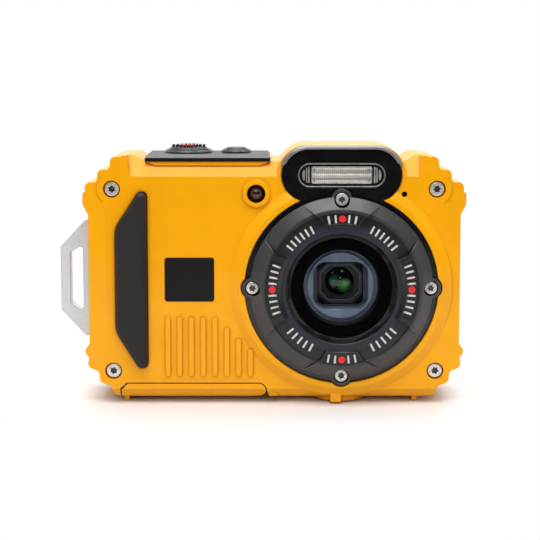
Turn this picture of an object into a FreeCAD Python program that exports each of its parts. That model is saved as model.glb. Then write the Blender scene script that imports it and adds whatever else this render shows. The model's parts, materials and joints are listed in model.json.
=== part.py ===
import FreeCAD, Part
import math
import os
import Sketcher
from FreeCAD import Placement, Rotation, Vector

# A compact waterproof digital camera, in millimetres.
# The origin is the middle of the tripod socket's mouth, on the standing plane, under the lens axis.
# +X runs to the right seen from the front, -Y is where the lens looks, +Z is up.

SIZES = [
    ("case_width", 100.8, "width of the casing between its side walls"),
    ("case_offset", 18.1, "the casing's middle lies this far left of the lens axis"),
    ("case_bottom", 1.6, "height of the underside above the feet"),
    ("case_top", 66.4, "height of the top face"),
    ("front_face", 9.2, "front face ahead of mid-depth"),
    ("rear_face", 12.4, "rear face behind mid-depth"),
    ("part_line", 8.6, "joint between the two casings behind mid-depth"),
    ("wall", 2.0, "thickness of the casing walls"),
    ("corner_cut", 7.6, "size of the casing's slanted upper corners"),
    ("corner_low", 9.5, "size of the casing's slanted lower corners"),
    ("side_wide", 4.8, "width of the shallow bevels at the sides"),
    ("side_deep", 1.1, "depth of the shallow bevels at the sides"),
    ("bevel_wide", 4.0, "width of the bevel on the upper front edge"),
    ("bevel_deep", 2.4, "depth of the bevels on the upper and lower front edges"),
    ("bevel_end", 11.5, "distance of the upper bevel's ends from the sides"),
    ("bevel_low", 2.6, "height of the bevel on the lower front edge"),
    ("ear_reach", 1.5, "how far the corner guards stand out at the sides"),
    ("ear_length", 14.4, "length of a corner guard along a side"),
    ("ear_step", 3.5, "size of one step of a corner guard"),
    ("ear_round", 1.5, "rounding of the steps of a corner guard"),
    ("ear_dip", 0.6, "rounding between the steps of a lower corner guard"),
    ("fit", 0.1, "gap round pieces that are fixed in a recess"),
    ("running_gap", 0.3, "gap round pieces that move"),
    ("lens_height", 32.4, "height of the lens axis"),
    ("window_radius", 15.6, "radius of the front window"),
    ("window_thick", 1.3, "thickness of the front window"),
    ("window_clear", 14.9, "radius of the ring's opening over the window"),
    ("window_front", 12.2, "front of the window ahead of mid-depth"),
    ("ring_radius", 24.7, "outer radius of the lens ring"),
    ("ring_front", 13.4, "front of the raised sections of the lens ring ahead of mid-depth"),
    ("ring_low_front", 12.8, "front of the lower sections between them"),
    ("ring_rim", 10.9, "outer rim of the lens ring ahead of mid-depth"),
    ("ring_crest", 21.6, "radius at which the ring's outer slope ends"),
    ("band_deep", 0.3, "depth of the sunk band that carries the ticks"),
    ("band_outer", 20.7, "outer radius of that band"),
    ("band_inner", 17.8, "inner radius of that band"),
    ("cone_outer", 18.0, "radius at which the ring's inner cone starts"),
    ("ring_lug", 2.8, "radius of the screw lugs of the lens ring"),
    ("ring_lug_floor", 0.6, "thickness of the lugs under the screw heads"),
    ("ring_pocket", 2.1, "radius of the pockets for the ring's screw heads"),
    ("ring_screw_circle", 24.0, "radius at which the ring screws stand"),
    ("bezel_radius", 26.1, "outer radius of the black bezel round the ring"),
    ("bezel_front", 9.5, "front of the black bezel ahead of mid-depth"),
    ("bezel_back", 8.5, "seat of the black bezel ahead of mid-depth"),
    ("collar_radius", 26.8, "inner edge of the raised collar round the bezel"),
    ("collar_foot", 30.0, "radius at which the collar meets the front face"),
    ("collar_front", 10.7, "front of the collar ahead of mid-depth"),
    ("collar_flat", 0.8, "width of the flat on the collar's front"),
    ("lens_bore", 13.4, "radius of the opening in the casing behind the window"),
    ("mask_radius", 10.7, "radius of the clear opening in the mask"),
    ("mask_thick", 0.8, "thickness of the mask behind the window"),
    ("flash_height", 62.8, "height of the middle of the flash"),
    ("flash_half", 9.2, "distance from the lens axis to the middle of each end of the flash bezel"),
    ("flash_lobe", 7.0, "radius of the ends of the flash bezel"),
    ("hump_rim", 1.1, "casing left round the flash bezel"),
    ("hump_back", 7.4, "rear end of the hump behind mid-depth"),
    ("flash_wide", 23.4, "width of the flash window"),
    ("flash_tall", 6.4, "height of the flash window"),
    ("reflector_wide", 16.4, "width of the flash reflector"),
    ("reflector_tall", 4.6, "height of the flash reflector"),
    ("lamp_x", -23.0, "place of the focus lamp along X"),
    ("lamp_drop", 8.6, "distance of the focus lamp below the top face"),
    ("lamp_radius", 2.4, "radius of the focus lamp's window"),
    ("lamp_boss", 4.1, "radius of the raised rim round the focus lamp"),
    ("lamp_rise", 0.6, "how far that rim stands out of the face"),
    ("mic_x", 16.9, "place of the microphone along X"),
    ("mic_drop", 8.8, "distance of the microphone below the top face"),
    ("mic_hole", 0.75, "radius of the microphone's hole"),
    ("mic_radius", 2.0, "radius of the microphone capsule"),
    ("screw_side", 43.8, "distance of the corner screws from the casing's middle"),
    ("screw_top", 59.0, "height of the upper corner screws"),
    ("screw_low", 9.2, "height of the lower corner screws"),
    ("screw_head", 2.0, "radius of the heads of the corner screws"),
    ("screw_shank", 1.0, "radius of the shanks of the corner screws"),
    ("screw_sunk", 0.4, "depth of the screw heads under the face"),
    ("screw_boss", 3.3, "radius of the bosses that hold the corner screws"),
    ("screw_rim", 4.4, "radius of the flat pads round the upper corner screws"),
    ("grip_right", -52.5, "right edge of the grip pad along X"),
    ("grip_left", -61.1, "left edge of the grip pad along X"),
    ("grip_top", 58.2, "top of the grip pad"),
    ("grip_low", 10.2, "bottom of the grip pad"),
    ("grip_slope", 8.8, "height of the slanted stretches of the grip pad"),
    ("grip_thick", 3.4, "thickness of the grip pad"),
    ("grip_seat", 1.0, "depth of the recess under the grip pad"),
    ("rib_first", -47.0, "place of the first raised rib along X"),
    ("rib_pitch", 3.2, "distance between the raised ribs"),
    ("rib_wide", 1.3, "width of a raised rib"),
    ("rib_rise", 0.5, "how far a rib stands out of the face"),
    ("rib_low", 7.8, "lower end of the ribs"),
    ("rib_top", 24.2, "upper end of the tall ribs"),
    ("rib_drop", 2.95, "how much lower each rib beside the lens ends"),
    ("plate_left", -53.0, "left end of the top plate along X"),
    ("plate_right", -19.2, "right end of the top plate along X"),
    ("plate_front", 8.2, "front of the top plate ahead of mid-depth"),
    ("plate_back", 7.8, "rear of the top plate behind mid-depth"),
    ("plate_thick", 1.9, "thickness of the top plate"),
    ("ledge_back", 0.3, "how far the ledge under the top plate stands back from its edges"),
    ("ledge_tall", 1.1, "height of the ledge under the top plate"),
    ("keys_y", 1.0, "place of the top buttons along Y"),
    ("shutter_x", -41.75, "place of the shutter button along X"),
    ("shutter_collar", 6.65, "outer radius of the shutter button's collar"),
    ("shutter_radius", 5.4, "radius of the shutter button"),
    ("shutter_top", 69.8, "top of the shutter button"),
    ("shutter_travel", 1.0, "travel of the shutter button"),
    ("stud_rise", 0.6, "height of the studs on the shutter button"),
    ("stud_radius", 0.34, "radius of a stud"),
    ("stud_pitch", 1.05, "distance between the studs"),
    ("power_x", -28.6, "place of the power button along X"),
    ("power_collar", 4.2, "outer radius of the power button's collar"),
    ("power_radius", 3.15, "radius of the power button"),
    ("power_top", 69.6, "top of the power button"),
    ("power_travel", 0.4, "travel of the power button"),
    ("collar_rise", 2.7, "height of the collars of the top buttons above the top face"),
    ("stem_radius", 1.4, "radius of the stems of the top buttons"),
    ("lug_out", 9.1, "how far the strap lug stands out of the side wall"),
    ("lug_thick", 3.2, "thickness of the strap lug"),
    ("lug_y", 2.4, "place of the strap lug along Y"),
    ("lug_low", 16.7, "lower end of the strap lug"),
    ("lug_top", 49.2, "upper end of the strap lug"),
    ("lug_slope", 7.4, "height of the slanted ends of the strap lug"),
    ("lug_leg", 2.6, "width of the strap lug's bars"),
    ("slot_wide", 3.6, "width of the strap slot"),
    ("socket_bore", 2.55, "radius of the tripod thread before tapping, 1/4-20"),
    ("socket_deep", 5.5, "depth of the tripod thread"),
    ("socket_radius", 5.0, "radius of the tripod socket"),
    ("socket_flange", 6.5, "radius of the tripod socket's flange"),
    ("flange_thick", 1.0, "thickness of the tripod socket's flange"),
    ("hinge_x", -22.4, "place of the door's hinge axis along X"),
    ("hinge_height", 3.6, "height of the door's hinge axis"),
    ("door_left", -59.9, "left end of the battery door along X"),
    ("door_half", 2.0, "half the thickness of the battery door"),
    ("door_slant", 1.8, "size of the slanted corner at the door's free end"),
    ("door_back", 7.7, "rear edge of the battery door behind mid-depth"),
    ("pin_radius", 0.7, "radius of the hinge pin"),
    ("pin_fit", 0.05, "running gap round the hinge pin"),
    ("shelf_thick", 1.0, "thickness of the casing's floor over the door"),
    ("battery_wide", 31.7, "width of the battery"),
    ("battery_thick", 6.0, "thickness of the battery"),
    ("battery_tall", 40.0, "height of the battery"),
    ("battery_left", -57.1, "left side of the battery along X"),
    ("battery_front", 2.6, "front of the battery ahead of mid-depth"),
    ("holder_wall", 1.0, "walls of the battery holder"),
    ("card_wide", 24.0, "width of the memory card"),
    ("card_thick", 2.1, "thickness of the memory card"),
    ("card_tall", 32.0, "height of the memory card"),
    ("unit_left", -12.5, "left side of the lens unit along X"),
    ("unit_right", 28.5, "right side of the lens unit along X"),
    ("unit_low", 21.9, "lower side of the lens unit"),
    ("unit_top", 42.9, "upper side of the lens unit"),
    ("unit_back", 7.3, "rear of the lens unit behind mid-depth"),
    ("barrel_radius", 9.1, "radius of the barrel's face behind the window"),
    ("mouth_wide", 15.0, "width of the barrel's mouth"),
    ("mouth_tall", 13.0, "height of the barrel's mouth"),
    ("mouth_deep", 3.2, "depth of the barrel's mouth"),
    ("throat_wide", 12.7, "width of the barrel's throat"),
    ("throat_tall", 11.7, "height of the barrel's throat"),
    ("throat_deep", 6.6, "depth of the throat's floor"),
    ("front_lens_radius", 4.2, "radius of the front lens"),
    ("zoom_start", 8.6, "place of the zoom carrier along X at the wide end"),
    ("zoom_thick", 5.0, "thickness of the zoom carrier"),
    ("rod_radius", 0.8, "radius of the guide rods"),
    ("rod_fit", 0.06, "running gap round the guide rods"),
    ("screen_mid", -0.5, "middle of the screen along X"),
    ("screen_height", 34.2, "height of the middle of the screen"),
    ("screen_wide", 61.5, "width of the screen's window"),
    ("screen_tall", 47.0, "height of the screen's window"),
    ("panel_wide", 56.6, "width of the display panel"),
    ("panel_tall", 42.2, "height of the display panel"),
    ("panel_thick", 1.6, "thickness of the display panel"),
    ("view_wide", 54.0, "width of the visible picture"),
    ("view_tall", 40.5, "height of the visible picture"),
    ("key_rise", 0.8, "how far the rear keys stand out of the rear face"),
    ("key_travel", 0.4, "travel of the rear keys"),
    ("key_radius", 2.9, "radius of the small rear keys"),
    ("pad_radius", 9.6, "radius of the direction pad"),
    ("ok_radius", 3.6, "radius of the key in the direction pad"),
    ("pad_x", -50.4, "middle of the direction pad along X"),
    ("pad_height", 27.4, "height of the middle of the direction pad"),
    ("rocker_wide", 15.0, "width of the zoom rocker"),
    ("rocker_tall", 5.6, "height of the zoom rocker"),
    ("rocker_drop", 10.0, "distance of the zoom rocker below the top face"),
]


class Size:
    """A length that carries its expression over the sheet and its present value."""

    def __init__(self, text, value):
        self.text = text
        self.value = value

    def __add__(self, other):
        return join(self, "+", other)

    def __radd__(self, other):
        return join(other, "+", self)

    def __sub__(self, other):
        return join(self, "-", other)

    def __rsub__(self, other):
        return join(other, "-", self)

    def __mul__(self, other):
        return join(self, "*", other)

    __rmul__ = __mul__

    def __truediv__(self, other):
        return join(self, "/", other)

    def __neg__(self):
        return Size("(0 - " + self.text + ")", -self.value)


def size(number):
    if isinstance(number, Size):
        return number
    text = "%g" % number if number >= 0 else "(0 - %g)" % -number
    return Size(text, float(number))


def join(first, sign, second):
    first = size(first)
    second = size(second)
    value = {
        "+": lambda p, q: p + q,
        "-": lambda p, q: p - q,
        "*": lambda p, q: p * q,
        "/": lambda p, q: p / q,
    }[sign](first.value, second.value)
    return Size("(" + first.text + " " + sign + " " + second.text + ")", value)


class Sheet:
    """The driving sizes, each under its own name."""


DOC = FreeCAD.newDocument("camera")


def write_sheet():
    table = DOC.addObject("Spreadsheet::Sheet", "sizes")
    sizes = Sheet()
    for row, (alias, value, note) in enumerate(SIZES, start=1):
        table.set("A%d" % row, note)
        table.set("B%d" % row, "%g" % value)
        table.setAlias("B%d" % row, alias)
        setattr(sizes, alias, Size("sizes." + alias, float(value)))
    DOC.recompute()
    return sizes


S = write_sheet()

# Places that several pieces share.
LEFT = -S.case_offset - S.case_width / 2
RIGHT = -S.case_offset + S.case_width / 2
BOTTOM = S.case_bottom
TOP = S.case_top
FRONT = -S.front_face
PARTING = S.part_line
REAR = S.rear_face
FRONT_IN = FRONT + S.wall
REAR_IN = REAR - S.wall + 0.2
SHELF = S.hinge_height + S.door_half + S.running_gap
FLOOR = SHELF + S.shelf_thick
DOOR_TOP = S.hinge_height + S.door_half
DOOR_LOW = S.hinge_height - S.door_half
LAMP_HEIGHT = TOP - S.lamp_drop
MIC_HEIGHT = TOP - S.mic_drop
ROCKER_HEIGHT = TOP - S.rocker_drop

AXES = {
    "x": Rotation(Vector(0, 1, 0), 90),
    "y": Rotation(Vector(1, 0, 0), -90),
    "z": Rotation(),
}
PLANES = {"front": "XZ_Plane", "top": "XY_Plane", "side": "YZ_Plane"}
PIECES = {}


def bind(item, prop, amount):
    item.setExpression(prop, size(amount).text)


def place(item, x, y, z, turn=None):
    item.Placement = Placement(
        Vector(size(x).value, size(y).value, size(z).value), turn or Rotation()
    )
    for letter, amount in zip("xyz", (x, y, z)):
        bind(item, ".Placement.Base." + letter, amount)


def box(name, x, y, z):
    """A block between two limits along each axis."""
    item = DOC.addObject("Part::Box", name)
    for prop, (low, high) in zip(("Length", "Width", "Height"), (x, y, z)):
        bind(item, prop, high - low)
    place(item, x[0], y[0], z[0])
    return item


def rod(name, axis, at, along, radius):
    """A round bar along an axis; at gives the two other coordinates."""
    item = DOC.addObject("Part::Cylinder", name)
    low, high = along
    bind(item, "Radius", radius)
    bind(item, "Height", high - low)
    corner = list(at)
    corner.insert("xyz".index(axis), low)
    place(item, *corner, AXES[axis])
    return item


def cone(name, axis, at, along, first, second):
    item = DOC.addObject("Part::Cone", name)
    low, high = along
    bind(item, "Radius1", first)
    bind(item, "Radius2", second)
    bind(item, "Height", high - low)
    corner = list(at)
    corner.insert("xyz".index(axis), low)
    place(item, *corner, AXES[axis])
    return item


def stud(name, at, along):
    """A short upright post with six sides."""
    item = DOC.addObject("Part::Prism", name)
    item.Polygon = 6
    low, high = along
    bind(item, "Circumradius", S.stud_radius)
    bind(item, "Height", high - low)
    place(item, *at, low)
    return item


def fuse(name, *parts):
    item = DOC.addObject("Part::MultiFuse", name)
    item.Shapes = list(parts)
    return item


def cut(name, base, *tools):
    item = DOC.addObject("Part::Cut", name)
    item.Base = base
    item.Tool = tools[0] if len(tools) == 1 else fuse(name + "_tools", *tools)
    return item


def common(name, first, second):
    item = DOC.addObject("Part::MultiCommon", name)
    item.Shapes = [first, second]
    return item


def mirror(name, source, base, normal):
    item = DOC.addObject("Part::Mirroring", name)
    item.Source = source
    item.Normal = normal
    for letter, amount in zip("xyz", base):
        bind(item, ".Base." + letter, amount)
    return item


class Outline:
    """A closed loop of straight sides; a corner with a third value is rounded."""

    def __init__(self, *corners):
        self.corners = corners

    def draw(self, sketch, tag):
        count = len(self.corners)
        points = [Vector(size(c[0]).value, size(c[1]).value, 0) for c in self.corners]
        first = sketch.GeometryCount
        for i in range(count):
            sketch.addGeometry(Part.LineSegment(points[i], points[(i + 1) % count]), False)
        for i in range(count):
            sketch.addConstraint(
                Sketcher.Constraint("Coincident", first + (i - 1) % count, 2, first + i, 1)
            )
            pin(sketch, first + i, 1, "%sx%d" % (tag, i), "%sy%d" % (tag, i), points[i])
        radii = {}
        for i, corner in enumerate(self.corners):
            if len(corner) > 2:
                sketch.fillet(first + i, 1, size(corner[2]).value, True, True)
                arc = sketch.GeometryCount - 2
                index = sketch.addConstraint(
                    Sketcher.Constraint("Radius", arc, size(corner[2]).value)
                )
                radii[i] = "%sr%d" % (tag, i)
                sketch.renameConstraint(index, radii[i])
        for i, corner in enumerate(self.corners):
            bind(sketch, "Constraints.%sx%d" % (tag, i), corner[0])
            bind(sketch, "Constraints.%sy%d" % (tag, i), corner[1])
        for i, name in radii.items():
            bind(sketch, "Constraints." + name, self.corners[i][2])


def pin(sketch, item, spot, across, up, point):
    """Ties a point of the sketch to the origin by two named distances."""
    for kind, name, amount in (("DistanceX", across, point.x), ("DistanceY", up, point.y)):
        index = sketch.addConstraint(Sketcher.Constraint(kind, -1, 1, item, spot, amount))
        sketch.renameConstraint(index, name)


def sketch_on(body, plane, offset, loops):
    sketch = body.newObject("Sketcher::SketchObject", body.Name + "_sketch")
    role = PLANES[plane]
    sketch.AttachmentSupport = (
        [item for item in body.Origin.OriginFeatures if item.Role == role][0],
        "",
    )
    sketch.MapMode = "FlatFace"
    for letter, amount in zip("xyz", offset):
        bind(sketch, ".AttachmentOffset.Base." + letter, amount)
    for number, loop in enumerate(loops):
        loop.draw(sketch, "abcdefghijkl"[number])
    return sketch


def prism(name, plane, along, *loops):
    """A flat outline given thickness between two limits along the third axis."""
    low, high = (size(amount) for amount in along)
    body = DOC.addObject("PartDesign::Body", name)
    start = -high if plane == "front" else low
    sketch = sketch_on(body, plane, (0, 0, start), loops)
    pad = body.newObject("PartDesign::Pad", name + "_pad")
    pad.Profile = sketch
    bind(pad, "Length", high - low)
    return body


def slot(name, along, first, second, radius):
    """A level or upright bar with half-round ends, seen from the front."""
    upright = size(first[0]).text == size(second[0]).text
    if upright:
        across = (first[0] - radius, first[0] + radius)
        middle = box(name + "_bar", across, along, (first[1], second[1]))
    else:
        up = (first[1] - radius, first[1] + radius)
        middle = box(name + "_bar", (first[0], second[0]), along, up)
    ends = [
        rod(name + "_end_%d" % number, "y", spot, along, radius)
        for number, spot in enumerate((first, second))
    ]
    return fuse(name, middle, *ends)


def flash_slot(name, along, radius):
    """A level slot round the flash, with its ends on the flash bezel's ends."""
    ends = [(side * S.flash_half, S.flash_height) for side in (-1, 1)]
    return slot(name, along, *ends, radius)


def turned(name, axis, at, *corners):
    """A profile turned about an axis: corners give the place along it and the radius."""
    body = DOC.addObject("PartDesign::Body", name)
    if axis == "z":
        x, y = at
        flipped = [(c[1], c[0]) + tuple(c[2:]) for c in corners]
        sketch = sketch_on(body, "front", (x, 0, -size(y)), [Outline(*flipped)])
        about = "V_Axis"
    elif axis == "y":
        x, z = at
        sketch = sketch_on(body, "side", (0, z, x), [Outline(*corners)])
        about = "H_Axis"
    else:
        y, z = at
        sketch = sketch_on(body, "front", (0, z, -size(y)), [Outline(*corners)])
        about = "H_Axis"
    turn = body.newObject("PartDesign::Revolution", name + "_turn")
    turn.Profile = sketch
    turn.ReferenceAxis = (sketch, [about])
    turn.Angle = 360
    return body


def near_edges(shape, wanted):
    """The names of the edges for which the test holds."""
    return ["Edge%d" % number for number, edge in enumerate(shape.Edges, 1) if wanted(edge)]


def soften(body, name, radius, wanted):
    """Rounds chosen edges of a body."""
    DOC.recompute()
    base = body.Tip
    edges = near_edges(base.Shape, wanted)
    fillet = body.newObject("PartDesign::Fillet", name)
    fillet.Base = (base, edges)
    bind(fillet, "Radius", radius)
    return fillet


def at_y(edge, y):
    box_of = edge.BoundBox
    return abs(box_of.YMin - y.value) < 1e-3 and abs(box_of.YMax - y.value) < 1e-3


def piece(node, item):
    """Names a finished sub-part."""
    item.Label = node
    PIECES[node] = item
    return item


def octagon(inset, less):
    """The casing's outline, drawn in all round, with its slanted corners made smaller."""
    west = LEFT + inset
    east = RIGHT - inset
    low = BOTTOM + inset
    high = TOP - inset
    upper = S.corner_cut - less
    lower = S.corner_low - less
    return Outline(
        (west, low + lower),
        (west, high - upper),
        (west + upper, high),
        (east - upper, high),
        (east, high - upper),
        (east, low + lower),
        (east - lower, low),
        (west + lower, low),
    )


def ears(name, low, high):
    """The stepped guards on the four corners, the two on the left mirrored to the right."""
    reach = S.ear_reach
    step = S.ear_step
    side = LEFT - 0.8
    tread = TOP - 5.6
    upper = prism(
        name,
        "front",
        (low, high),
        Outline(
            (LEFT, TOP - S.ear_length),
            (LEFT - reach, TOP - S.ear_length + 2.6, 1.2),
            (LEFT - reach, tread - 3.1, 0.5),
            (side, tread - 2.6),
            (side, tread, S.ear_round),
            (side + step, tread),
            (side + step, tread + step, S.ear_round),
            (side + step * 2, tread + step),
            (side + step * 2, tread + step * 2, S.ear_round),
            (side + step * 2 + 2.8, tread + step * 2),
            (side + step * 2 + 3.4, TOP + reach + 0.2, 0.4),
            (LEFT + S.ear_length - 2, TOP + reach + 0.2, 1.2),
            (LEFT + S.ear_length + 0.8, TOP),
            (LEFT + S.ear_length + 0.8, TOP - 6),
            (LEFT + 6, TOP - S.ear_length),
        ),
    )
    # Each step of a lower guard falls a little more than it goes across.
    lower = prism(
        name + "_low",
        "front",
        (low, high),
        Outline(
            (LEFT, BOTTOM + 14.9),
            (LEFT - reach, BOTTOM + 12.7, 1.2),
            (LEFT - 0.2, BOTTOM + 10.9, S.ear_dip),
            (LEFT - 0.7, BOTTOM + 8.3, S.ear_round),
            (LEFT + 2.6, BOTTOM + 7.4, S.ear_dip),
            (LEFT + 2.8, BOTTOM + 4.4, S.ear_round),
            (LEFT + 6.1, BOTTOM + 3.4, S.ear_dip),
            (LEFT + 6.3, BOTTOM + 0.4, S.ear_round),
            (LEFT + 10, BOTTOM),
            (LEFT + 12, BOTTOM + 6),
            (LEFT + 6, BOTTOM + 14.9),
        ),
    )
    left = fuse(name + "_pair", upper, lower)
    return [left, mirror(name + "_right", left, (-S.case_offset, 0, 0), Vector(1, 0, 0))]


def bevels():
    """Wedges that slope the edges of the front face."""
    wide = S.bevel_wide
    deep = FRONT + S.bevel_deep
    past = FRONT - 1
    slope = (wide * 1.0) / S.bevel_deep
    side_slope = S.side_wide / S.side_deep
    west = prism(
        "bevel_left",
        "top",
        (BOTTOM - 2, TOP + S.ear_reach + 1),
        Outline(
            (LEFT - 4, past),
            (LEFT + S.side_wide + side_slope, past),
            (LEFT, FRONT + S.side_deep),
            (LEFT - S.side_wide / 2, FRONT + S.side_deep * 1.5),
            (LEFT - 4, FRONT + S.side_deep * 1.5),
        ),
    )
    east = mirror("bevel_right", west, (-S.case_offset, 0, 0), Vector(1, 0, 0))
    # The upper bevel's ends slant towards the corner guards.
    start = LEFT + S.bevel_end
    end = RIGHT - S.bevel_end
    behind = deep + S.bevel_deep / 2
    wedge = prism(
        "bevel_top_wedge",
        "side",
        (LEFT, RIGHT),
        Outline(
            (past, TOP + 6), (past, TOP - wide - slope), (behind, TOP + wide / 2), (behind, TOP + 6)
        ),
    )
    slant = prism(
        "bevel_top_ends",
        "front",
        (past - 1, behind + 1),
        Outline(
            (start - 1.6, TOP + 7),
            (start + 0.6, TOP - wide * 2),
            (end - 0.6, TOP - wide * 2),
            (end + 1.6, TOP + 7),
        ),
    )
    upper = common("bevel_top", wedge, slant)
    low_slope = S.bevel_low / S.bevel_deep
    lower = prism(
        "bevel_low_edge",
        "side",
        (LEFT - 2, RIGHT + 2),
        Outline(
            (past, BOTTOM - 1),
            (past, BOTTOM + S.bevel_low + low_slope),
            (deep, BOTTOM),
            (deep, BOTTOM - 1),
        ),
    )
    return [west, east, upper, lower]


def lug_places(radius):
    """Four places round the lens axis."""
    return [
        (radius, S.lens_height),
        (-radius, S.lens_height),
        (size(0), S.lens_height + radius),
        (size(0), S.lens_height - radius),
    ]


def screw_places():
    return [
        (-S.case_offset + side * S.screw_side, height)
        for side in (-1, 1)
        for height in (S.screw_top, S.screw_low)
    ]


def make_front_casing():
    """The deep front shell with its hump, collar, corner guards, recesses and bosses."""
    lens = (0, S.lens_height)
    hump_radius = S.flash_lobe + S.hump_rim
    shell = fuse(
        "front_shell",
        prism("front_core", "front", (FRONT, PARTING), octagon(0, 0)),
        *ears("front_ears", FRONT, PARTING),
    )
    beveled = cut("front_beveled", shell, *bevels())
    hump = flash_slot("front_hump", (FRONT, S.hump_back), hump_radius)
    collar = turned(
        "front_collar",
        "y",
        lens,
        (FRONT + 1.2, S.lens_bore),
        (FRONT + 1.2, S.collar_foot + 0.2),
        (FRONT, S.collar_foot),
        (-S.collar_front, S.collar_radius + S.collar_flat),
        (-S.collar_front, S.lens_bore),
    )
    swells = [
        cone("collar_swell_%d" % number, "y", spot, (-S.collar_front, FRONT + 0.5), 4.0, 4.8)
        for number, spot in enumerate(lug_places(S.ring_screw_circle))
    ]
    lamp_ring = cone(
        "lamp_ring",
        "y",
        (S.lamp_x, LAMP_HEIGHT),
        (FRONT - S.lamp_rise, FRONT + 0.5),
        S.lamp_boss - 0.5,
        S.lamp_boss,
    )
    ledge = prism(
        "plate_ledge",
        "front",
        (-S.plate_front + S.ledge_back, FRONT + S.bevel_deep + 1),
        Outline(
            (S.plate_left + S.ledge_back, TOP),
            (S.plate_left + S.ledge_back + 2.4, TOP - S.ledge_tall),
            (S.plate_right - S.ledge_back - 2.4, TOP - S.ledge_tall),
            (S.plate_right - S.ledge_back, TOP),
        ),
    )
    rims = [
        cone(
            "screw_rim_%d" % number,
            "y",
            spot,
            (FRONT, FRONT + S.bevel_deep),
            S.screw_rim - 0.4,
            S.screw_rim,
        )
        for number, spot in enumerate(screw_places())
        if spot[1] is S.screw_top
    ]
    ribs = []
    for number in range(8):
        across = S.rib_first + S.rib_pitch * number
        tip = S.rib_top - S.rib_drop * max(0, number - 4)
        ribs.append(
            slot(
                "rib_%d" % (number + 1),
                (FRONT - S.rib_rise, FRONT + 0.5),
                (across, S.rib_low + S.rib_wide / 2),
                (across, tip - S.rib_wide / 2),
                S.rib_wide / 2,
            )
        )
    solid = fuse("front_solid", beveled, hump, collar, lamp_ring, ledge, *rims, *swells, *ribs)
    cavity = prism(
        "front_cavity",
        "front",
        (FRONT_IN, PARTING + 1),
        octagon(S.wall, 0.8),
    )
    hump_cavity = flash_slot(
        "hump_cavity", (FRONT_IN, S.hump_back - S.wall), S.flash_lobe - 0.6
    )
    hollow = cut("front_hollow", solid, cavity, hump_cavity)
    bosses = [
        rod("boss_%d" % number, "y", spot, (FRONT + 1, PARTING), S.screw_boss)
        for number, spot in enumerate(screw_places())
    ]
    shelf_end = S.hinge_x + S.door_half + S.wall + 1
    shelf = prism(
        "door_shelf",
        "front",
        (FRONT + 1, PARTING),
        Outline(
            (S.door_left - 2.2, FLOOR),
            (shelf_end, FLOOR),
            (shelf_end, BOTTOM + 0.5),
            (S.door_left + 0.3, BOTTOM + 0.5),
            (S.door_left - 2.2, BOTTOM + 3.0),
        ),
    )
    foot = rod("socket_boss", "z", (0, 0), (BOTTOM + 0.5, 6.5), S.socket_radius + 2.0)
    socket_skirt = rod("socket_skirt", "z", (0, 0), (0.4, BOTTOM + 1), S.socket_flange + 1.2)
    # The right foot is a short rail and the middle one wraps round the front edge.
    rail = box("right_foot", (19.8, 21.2), (-6.0, 7.0), (0, BOTTOM + 0.5))
    tab = prism(
        "front_foot",
        "side",
        (-2.8, 0.1),
        Outline(
            (FRONT - 0.5, 3.4),
            (FRONT - 0.5, 0.8),
            (FRONT + 0.6, 0),
            (FRONT + 3.4, 0),
            (FRONT + 3.4, 3.4),
        ),
    )
    fitted = fuse(
        "front_fitted", hollow, shelf, foot, socket_skirt, rail, tab, *bosses
    )
    tools = []
    # The bezel's seat follows the bezel, the ring's lugs and the flash.
    seat = -S.bezel_back
    out = -S.ring_front - 2
    tools.append(rod("bezel_seat", "y", lens, (out, seat), S.bezel_radius + S.fit))
    tools.append(flash_slot("flash_seat", (out, seat), S.flash_lobe + S.fit))
    tools += [
        rod("lug_seat_%d" % number, "y", spot, (out, seat), S.ring_lug + 0.45)
        for number, spot in enumerate(lug_places(S.ring_screw_circle))
    ]
    tools.append(rod("lens_opening", "y", lens, (out, FRONT_IN + 1), S.lens_bore))
    tools.append(
        box(
            "flash_opening",
            (-S.reflector_wide / 2 - 2, S.reflector_wide / 2 + 2),
            (out, FRONT_IN + 1),
            (S.flash_height - 3.0, S.flash_height + 3.0),
        )
    )
    tools.append(
        rod(
            "lamp_opening",
            "y",
            (S.lamp_x, LAMP_HEIGHT),
            (out, FRONT_IN + 1),
            S.lamp_radius + S.fit,
        )
    )
    tools.append(
        rod("mic_opening", "y", (S.mic_x, MIC_HEIGHT), (out, FRONT_IN + 1), S.mic_hole)
    )
    for number, spot in enumerate(screw_places()):
        tools.append(
            rod(
                "screw_sink_%d" % number,
                "y",
                spot,
                (FRONT - 2, FRONT + S.screw_sunk + 1.4),
                S.screw_head + 0.3,
            )
        )
        tools.append(
            rod(
                "screw_way_%d" % number,
                "y",
                spot,
                (FRONT, PARTING + 1),
                S.screw_shank + S.pin_fit,
            )
        )
    for number, spot in enumerate(lug_places(S.ring_screw_circle)):
        tools.append(
            rod("ring_screw_way_%d" % number, "y", spot, (out, FRONT_IN - 0.4), 0.8 + S.pin_fit)
        )
    seat = (FRONT - 2, FRONT + S.grip_seat)
    tools.append(prism("grip_seat", "front", seat, grip_outline(S.fit * 2)))
    for name, x, radius in (
        ("shutter", S.shutter_x, S.shutter_collar),
        ("power", S.power_x, S.power_collar),
    ):
        spot = (x, S.keys_y)
        tools.append(
            rod(name + "_way", "z", spot, (TOP - S.wall - 1, TOP + 1), S.stem_radius + 0.5)
        )
    tools.append(
        box(
            "lug_seat",
            (LEFT - 2, LEFT + 0.6),
            (S.lug_y - S.lug_thick / 2 - S.fit, S.lug_y + S.lug_thick / 2 + S.fit),
            (S.lug_low - S.fit, S.lug_top + S.fit),
        )
    )
    for number, height in enumerate((S.lug_low + 4, S.lug_top - 4)):
        tools.append(
            rod(
                "lug_screw_way_%d" % number,
                "x",
                (S.lug_y, height),
                (LEFT - 1, LEFT + S.wall + 1),
                0.8 + S.pin_fit,
            )
        )
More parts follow.
